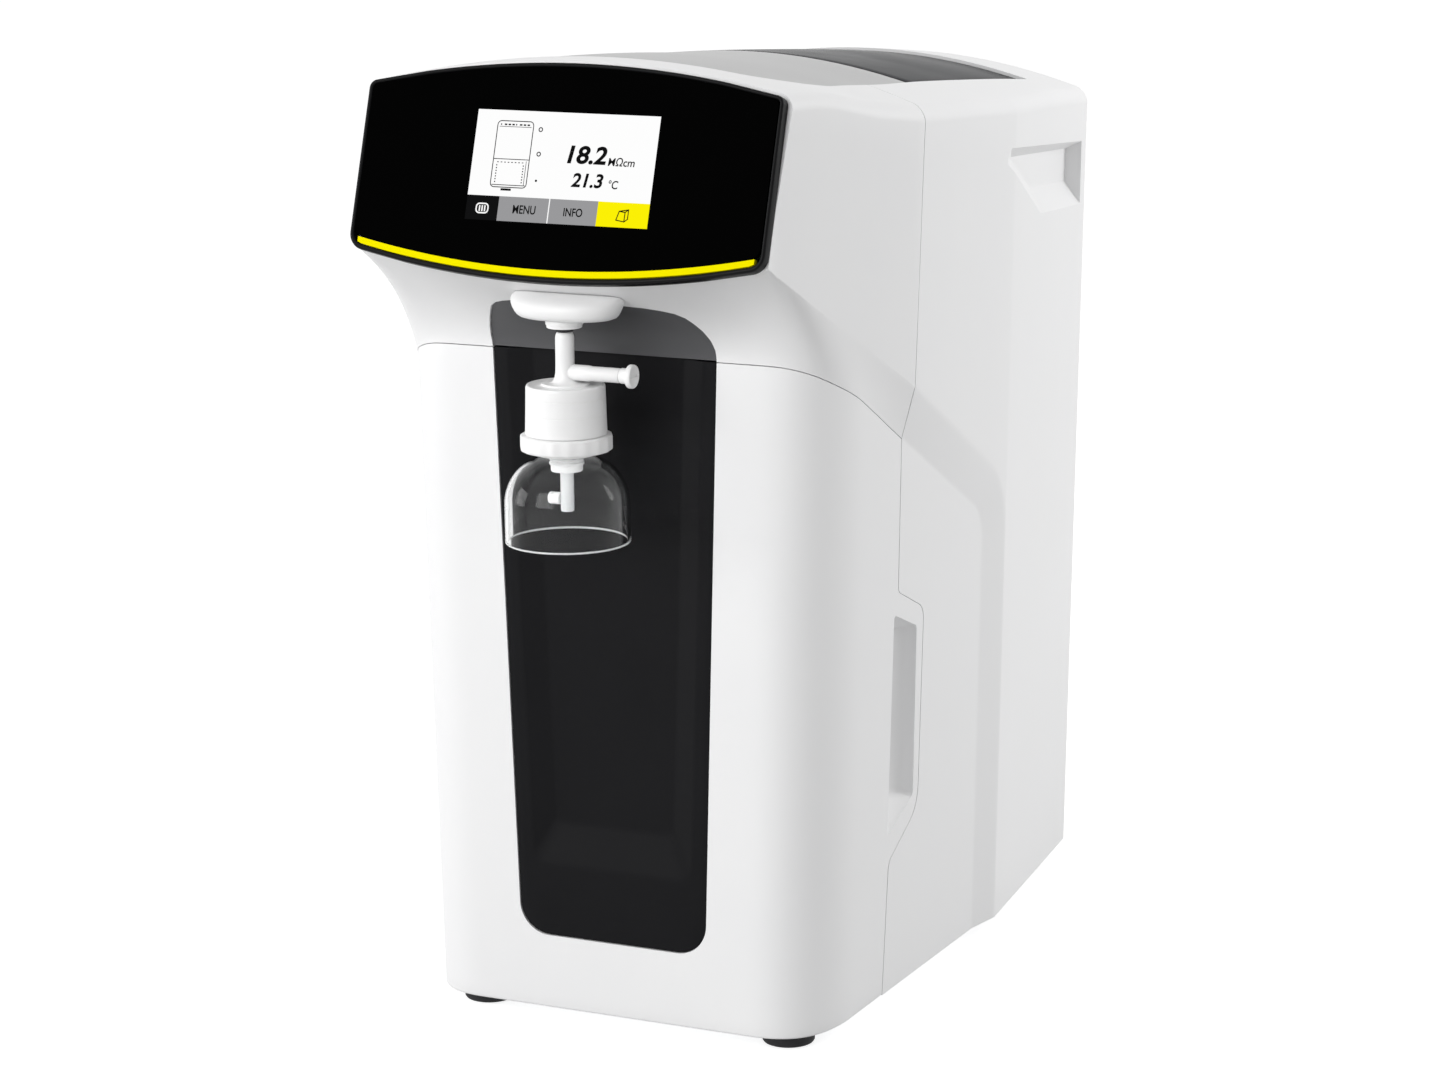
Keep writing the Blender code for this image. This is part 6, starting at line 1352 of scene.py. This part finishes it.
collarProfile = ((0, 0.3772), (0.0086, 0.3772), (0.0090, 0.3770), (0.0092, 0.3765),
                 (0.0092, 0.3746),
                 (0.0090, 0.3742), (0.0087, 0.3741), (0.0087, 0.3732), (0.0085, 0.3728),
                 (0.0080, 0.3727), (0.0027, 0.3727), (0.0024, 0.3724), (0.0024, 0.3556),
                 (0.0020, 0.3552), (0.0012, 0.3552), (0.0010, 0.3555), (0.0010, 0.3680),
                 (0, 0.3680))
nozzlePiece("outletCollar", turned(collarProfile), fittingWhite, "cabinet",
            ("outlet_collar",))


def circleProfile(centre, height, radius, steps):
    return [(centre + radius * math.cos(math.tau * i / steps),
             height + radius * math.sin(math.tau * i / steps)) for i in range(steps + 1)]


ringProfile = circleProfile(0.0036, 0.3716, 0.0009, 16)
nozzlePiece("outletSeal", turned(ringProfile, 48), feetRubber, "cabinet",
            ("o_ring",))

stemProfile = [(0, 0.3520), (0.0026, 0.3520), (0.0026, 0.3700), (0.0029, 0.3705),
               (0.0035, 0.3705),
               (0.0040, 0.3700), (0.0044, 0.3690), (0.0046, 0.3676), (0.0046, 0.3600),
               (0.00465, 0.3540), (0.0048, 0.3505), (0.0052, 0.3485), (0.0058, 0.3472),
               (0.0066, 0.3463), (0.0076, 0.34585), (0.0090, 0.3458), (0.0114, 0.3458),
               (0.0118, 0.3455),
               (0.0119, 0.3449), (0.0124, 0.3446), (0.0171, 0.3446), (0.0175, 0.3448),
               (0.0178, 0.3450), (0.0185, 0.3450), (0.0190, 0.3448), (0.0193, 0.3442),
               (0.0194, 0.3433), (0.0195, 0.3392), (0.01935, 0.3390), (0.0195, 0.3388),
               (0.0197, 0.3312), (0.01955, 0.3310), (0.0197, 0.3308), (0.0200, 0.3211),
               (0.0198, 0.3208), (0, 0.3208)]
nozzlePiece("filterCapsule", turned(stemProfile, 96), milkyPolypropylene, "capsule",
            ("capsule_body",))
baseProfile = [(0, 0.3205), (0.0212, 0.3205), (0.0221, 0.3203), (0.0225, 0.3199), (0.0226, 0.3192),
               (0.0226, 0.3141), (0.0225, 0.3134), (0.0221, 0.3129), (0.0214, 0.3127),
               (0.0158, 0.3127), (0.0153, 0.3126), (0.0152, 0.3123), (0.0152, 0.3112),
               (0.0150, 0.3108), (0.0146, 0.3107), (0.0092, 0.3107), (0.0087, 0.3104),
               (0.0086, 0.3098), (0.0086, 0.3086), (0.0082, 0.3081), (0.0080, 0.3078),
               (0.0080, 0.3072), (0.0085, 0.3068), (0.0085, 0.3058), (0.0080, 0.3054),
               (0.0078, 0.3050), (0.0078, 0.3028), (0.0075, 0.3023), (0.0069, 0.3022),
               (0.0038, 0.3022), (0.0036, 0.3025), (0.0036, 0.3104), (0, 0.3104)]
flangeFacets = {"from": 0.0215, "depth": 0.0004, "count": 18}
nozzlePiece("capsuleFoot", turned(baseProfile, 144, flangeFacets), milkyPolypropylene, "capsule",
            ("capsule_base",))
tubeProfile = [(0.0018, 0.3100), (0.0033, 0.3100), (0.0033, 0.2829), (0.0032, 0.2824),
               (0.0029, 0.2822), (0.0021, 0.2822), (0.0018, 0.2825), (0.0018, 0.3100)]
nozzlePiece("outletTube", turned(tubeProfile, 48), frostedTube, "capsule",
            ("outlet_tube",))
tipProfile = [(0, -0.0096), (0.0024, -0.0096), (0.0028, -0.0094), (0.0030, -0.0090),
              (0.0030, -0.0078), (0.0028, -0.0075), (0.0028, -0.0066), (0.0030, -0.0063),
              (0.0030, -0.0040), (0.0028, -0.0037), (0.0024, -0.0036), (0, -0.0036)]
nozzlePiece("tubeTipCap", sideways(turned(tipProfile, 48), 0.2882), fittingWhite, "capsule",
            ("tip_cap",))
ventHeight = 0.351
ventProfile = [(0, 0.0031), (0.0039, 0.0031), (0.0039, 0.0125), (0.0038, 0.0135), (0.0036, 0.0143),
               (0.0036, 0.0292), (0.0033, 0.0298), (0.0026, 0.0300), (0.0022, 0.0302),
               (0.0022, 0.0326), (0.0019, 0.0330), (0, 0.0330)]
ventMesh = sideways(turned(ventProfile, 56), ventHeight)
nozzlePiece("ventBarrel", ventMesh, milkyPolypropylene, "capsule", ("vent_port",))
knobProfile = [(0.0025, 0.0303), (0.0036, 0.0303), (0.0038, 0.0306), (0.0038, 0.0338),
               (0.0041, 0.0342), (0.0050, 0.0343), (0.0055, 0.0345), (0.0058, 0.0350),
               (0.0058, 0.0366), (0.0056, 0.0371), (0.0051, 0.0373), (0.0046, 0.0372),
               (0.0038, 0.0368), (0.0022, 0.0365), (0, 0.0364)]
knobBore = [(0, 0.0336), (0.0025, 0.0336), (0.0025, 0.0303)]
knobSolid = sideways(turned(knobBore + knobProfile, 56), ventHeight)
slotCutter = slab([[(-0.0042, -0.0007), (0.0042, -0.0007), (0.0042, 0.0007), (-0.0042, 0.0007)]],
                  0.0360, 0.04)
slotCutter.transform(Matrix.Translation((0, 0, ventHeight)) @ Matrix.Rotation(math.pi / 2, 4, "Y")
                     @ Matrix.Rotation(math.pi / 2, 4, "Z"))
knobMesh = shadeByAngle(carve(knobSolid, [("DIFFERENCE", slotCutter)]))
nozzlePiece("ventKnobDished", knobMesh, fittingWhite, "knob", ("vent_knob",))

bell = {"radius": 0.0307, "wall": 0.0014, "low": 0.2670, "straight": 0.0190, "height": 0.0431,
        "hole": 0.0089, "power": 1.08}


def bellArc(radius, rise, steps=20):
    points = []
    for i in range(steps + 1):
        angle = math.pi / 2 * i / steps
        points.append((bell["hole"] + (radius - bell["hole"]) * math.cos(angle) ** bell["power"],
                       bell["low"] + bell["straight"] + rise * math.sin(angle)))
    return points


bellRise = bell["height"] - bell["straight"]
outer = bellArc(bell["radius"], bellRise)
inner = bellArc(bell["radius"] - bell["wall"], bellRise - bell["wall"])
lip = [(bell["radius"] - bell["wall"], bell["low"] + 0.0004),
       (bell["radius"] - bell["wall"] * 0.7, bell["low"]),
       (bell["radius"] - bell["wall"] * 0.3, bell["low"]), (bell["radius"], bell["low"] + 0.0004)]
bellProfile = list(reversed(inner)) + lip + outer + [inner[-1]]
nozzlePiece("fillingBellClear", turned(bellProfile, 96), clearPolycarbonate, "bell",
            ("filling_bell",))
# A thin ring of light frosted plastic along the bell's lip: a painted highlight that stands in for
# the bright line of reflection round the lip
paintedHighlightTorus = circleProfile(bell["radius"] - 0.0005, bell["low"] + 0.0005, 0.0005, 12)
nozzlePiece("bellRimPaintedHighlight", turned(paintedHighlightTorus, 96), frostedTube, "bell")
print("nozzle done")


# Feet: turned rubber with a moulding groove
footProfile = [(0, 0), (0.0080, 0), (0.0086, 0.0004), (0.0092, 0), (0.0118, 0), (0.0128, 0.0004),
               (0.0134, 0.0012), (0.0135, 0.0022), (0.0135, 0.0056), (0.0132, 0.0060),
               (0.0135, 0.0064), (0.0135, 0.0088), (0.0134, 0.009), (0, 0.009)]
for nodeName, x, y in (("foot_front_left", -0.086, 0.027), ("foot_front_right", 0.086, 0.027),
                       ("foot_rear_left", -0.086, 0.350), ("foot_rear_right", 0.086, 0.350)):
    footMesh = turned(footProfile, 56)
    footMesh.transform(Matrix.Translation((x, y, 0)))
    makePiece("rubber_" + nodeName, toWorld(footMesh), feetRubber, "cabinet",
              (nodeName,))


# Finishes of the CAD nodes that keep their shape
finishes = {
    "shell_white": satinAbs, "inlay_black": satinBlack, "arch_dark": satinGrey,
    "window_grey": frostedAcrylic, "lid_dark": smokedAcrylic, "bright_steel": turnedSteel,
    "sheet_steel": zincSheet, "bezel_dark": rimPlastic, "strip_yellow": yellowAcrylic,
    "display_black": coatedGlass, "screen_white": pixelWhite, "board_green": solderMask,
    "fitting_white": fittingWhite, "seal_rubber": feetRubber, "capsule_milky": milkyPolypropylene,
    "tube_clear": frostedTube, "bell_clear": clearPolycarbonate, "foot_rubber": feetRubber,
    "tank_milky": tankPolyethylene, "cap_blue": capBlue, "moulding_black": moulding,
    "cartridge_white": fittingWhite, "housing_metal": anodisedHousing,
    "panel_white": rearPanelWhite, "rocker_black": moulding, "connector_grey": connectorGrey}
slotOf = {item["node"]: item["material_slot"] for item in frame["record"]["subparts"]}
for nodeName, node in frame["nodes"].items():
    for slotPlace in node.material_slots:
        slotPlace.material = finishes[slotOf[nodeName]]


# Floor, surroundings, lamps and camera. What the camera, a reflection or a clear piece sees
# of the surroundings is plain white, while the object is lit at a lower level.
def whiteWhenSeen(tree):
    rays = addNode(tree, "ShaderNodeLightPath")
    seen = addNode(tree, "ShaderNodeMath", {
        0: rays.outputs["Is Camera Ray"], 1: rays.outputs["Is Glossy Ray"]}, operation="MAXIMUM")
    through = addNode(tree, "ShaderNodeMath", {
        0: seen.outputs[0], 1: rays.outputs["Is Transmission Ray"]}, operation="MAXIMUM")
    return through.outputs[0]


studio = {"floorShade": "#B8B8B8", "floorGlow": 0.8, "ambient": 0.5}


def paperMaterial():
    material, tree, shader = blankMaterial("studioPaper")
    shader.inputs["Base Color"].default_value = hexColour(studio["floorShade"])
    shader.inputs["Roughness"].default_value = 1
    shader.inputs["Specular IOR Level"].default_value = 0
    glow = addNode(tree, "ShaderNodeMath", {
        0: whiteWhenSeen(tree), 1: studio["floorGlow"]}, operation="MULTIPLY")
    shader.inputs["Emission Color"].default_value = (1, 1, 1, 1)
    tree.links.new(glow.outputs[0], shader.inputs["Emission Strength"])
    return material


floorMesh = meshFromRows([[(-30, -30, -0.0002), (30, -30, -0.0002)],
                          [(-30, 30, -0.0002), (30, 30, -0.0002)]])
floor = bpy.data.objects.new("studioFloor", floorMesh)
bpy.context.scene.collection.objects.link(floor)
floorMesh.materials.append(paperMaterial())

world = bpy.data.worlds.new("studioAir")
bpy.context.scene.world = world
world.use_nodes = True
airTree = world.node_tree
level = addNode(airTree, "ShaderNodeMapRange", {
    "Value": whiteWhenSeen(airTree), "From Min": 0, "From Max": 1,
    "To Min": studio["ambient"], "To Max": 1})
airTree.links.new(level.outputs["Result"], airTree.nodes["Background"].inputs["Strength"])
airTree.nodes["Background"].inputs["Color"].default_value = (1, 1, 1, 1)


def softLamp(name, place, aim, size, power):
    light = bpy.data.lights.new(name, "AREA")
    light.shape = "RECTANGLE"
    light.size, light.size_y = size
    light.energy = power
    lamp = bpy.data.objects.new(name, light)
    lamp.location = place
    lamp.rotation_euler = (Vector(aim) - Vector(place)).to_track_quat("-Z", "Y").to_euler()
    bpy.context.scene.collection.objects.link(lamp)
    return lamp


softLamp("frontPanel", (-0.7, -2.5, 1.1), (0, 0, 0.25), (1.6, 1.4), 37)
softLamp("sidePanel", (1.3, 0.9, 0.9), (0.1, 0.05, 0.25), (0.9, 0.9), 12)
softLamp("leftPanel", (-2.2, -0.9, 0.7), (0, 0, 0.25), (1, 1), 13)
softLamp("topPanel", (-0.2, 0.2, 2.6), (0, 0, 0.3), (1.6, 1.6), 6)

cameraData = bpy.data.cameras.new("photoCamera")
cameraData.lens = 95.57
cameraData.sensor_width = 36
camera = bpy.data.objects.new("photoCamera", cameraData)
camera.matrix_world = Matrix((
    (0.9070719, -0.08433387, 0.41244196, 0.8427),
    (0.42088577, 0.20192907, -0.88435277, -1.82625),
    (-0.00870313, 0.9757625, 0.21865911, 0.6757),
    (0, 0, 0, 1)))
bpy.context.scene.collection.objects.link(camera)
bpy.context.scene.camera = camera
bpy.context.scene.view_settings.view_transform = "Standard"
print("stage done")
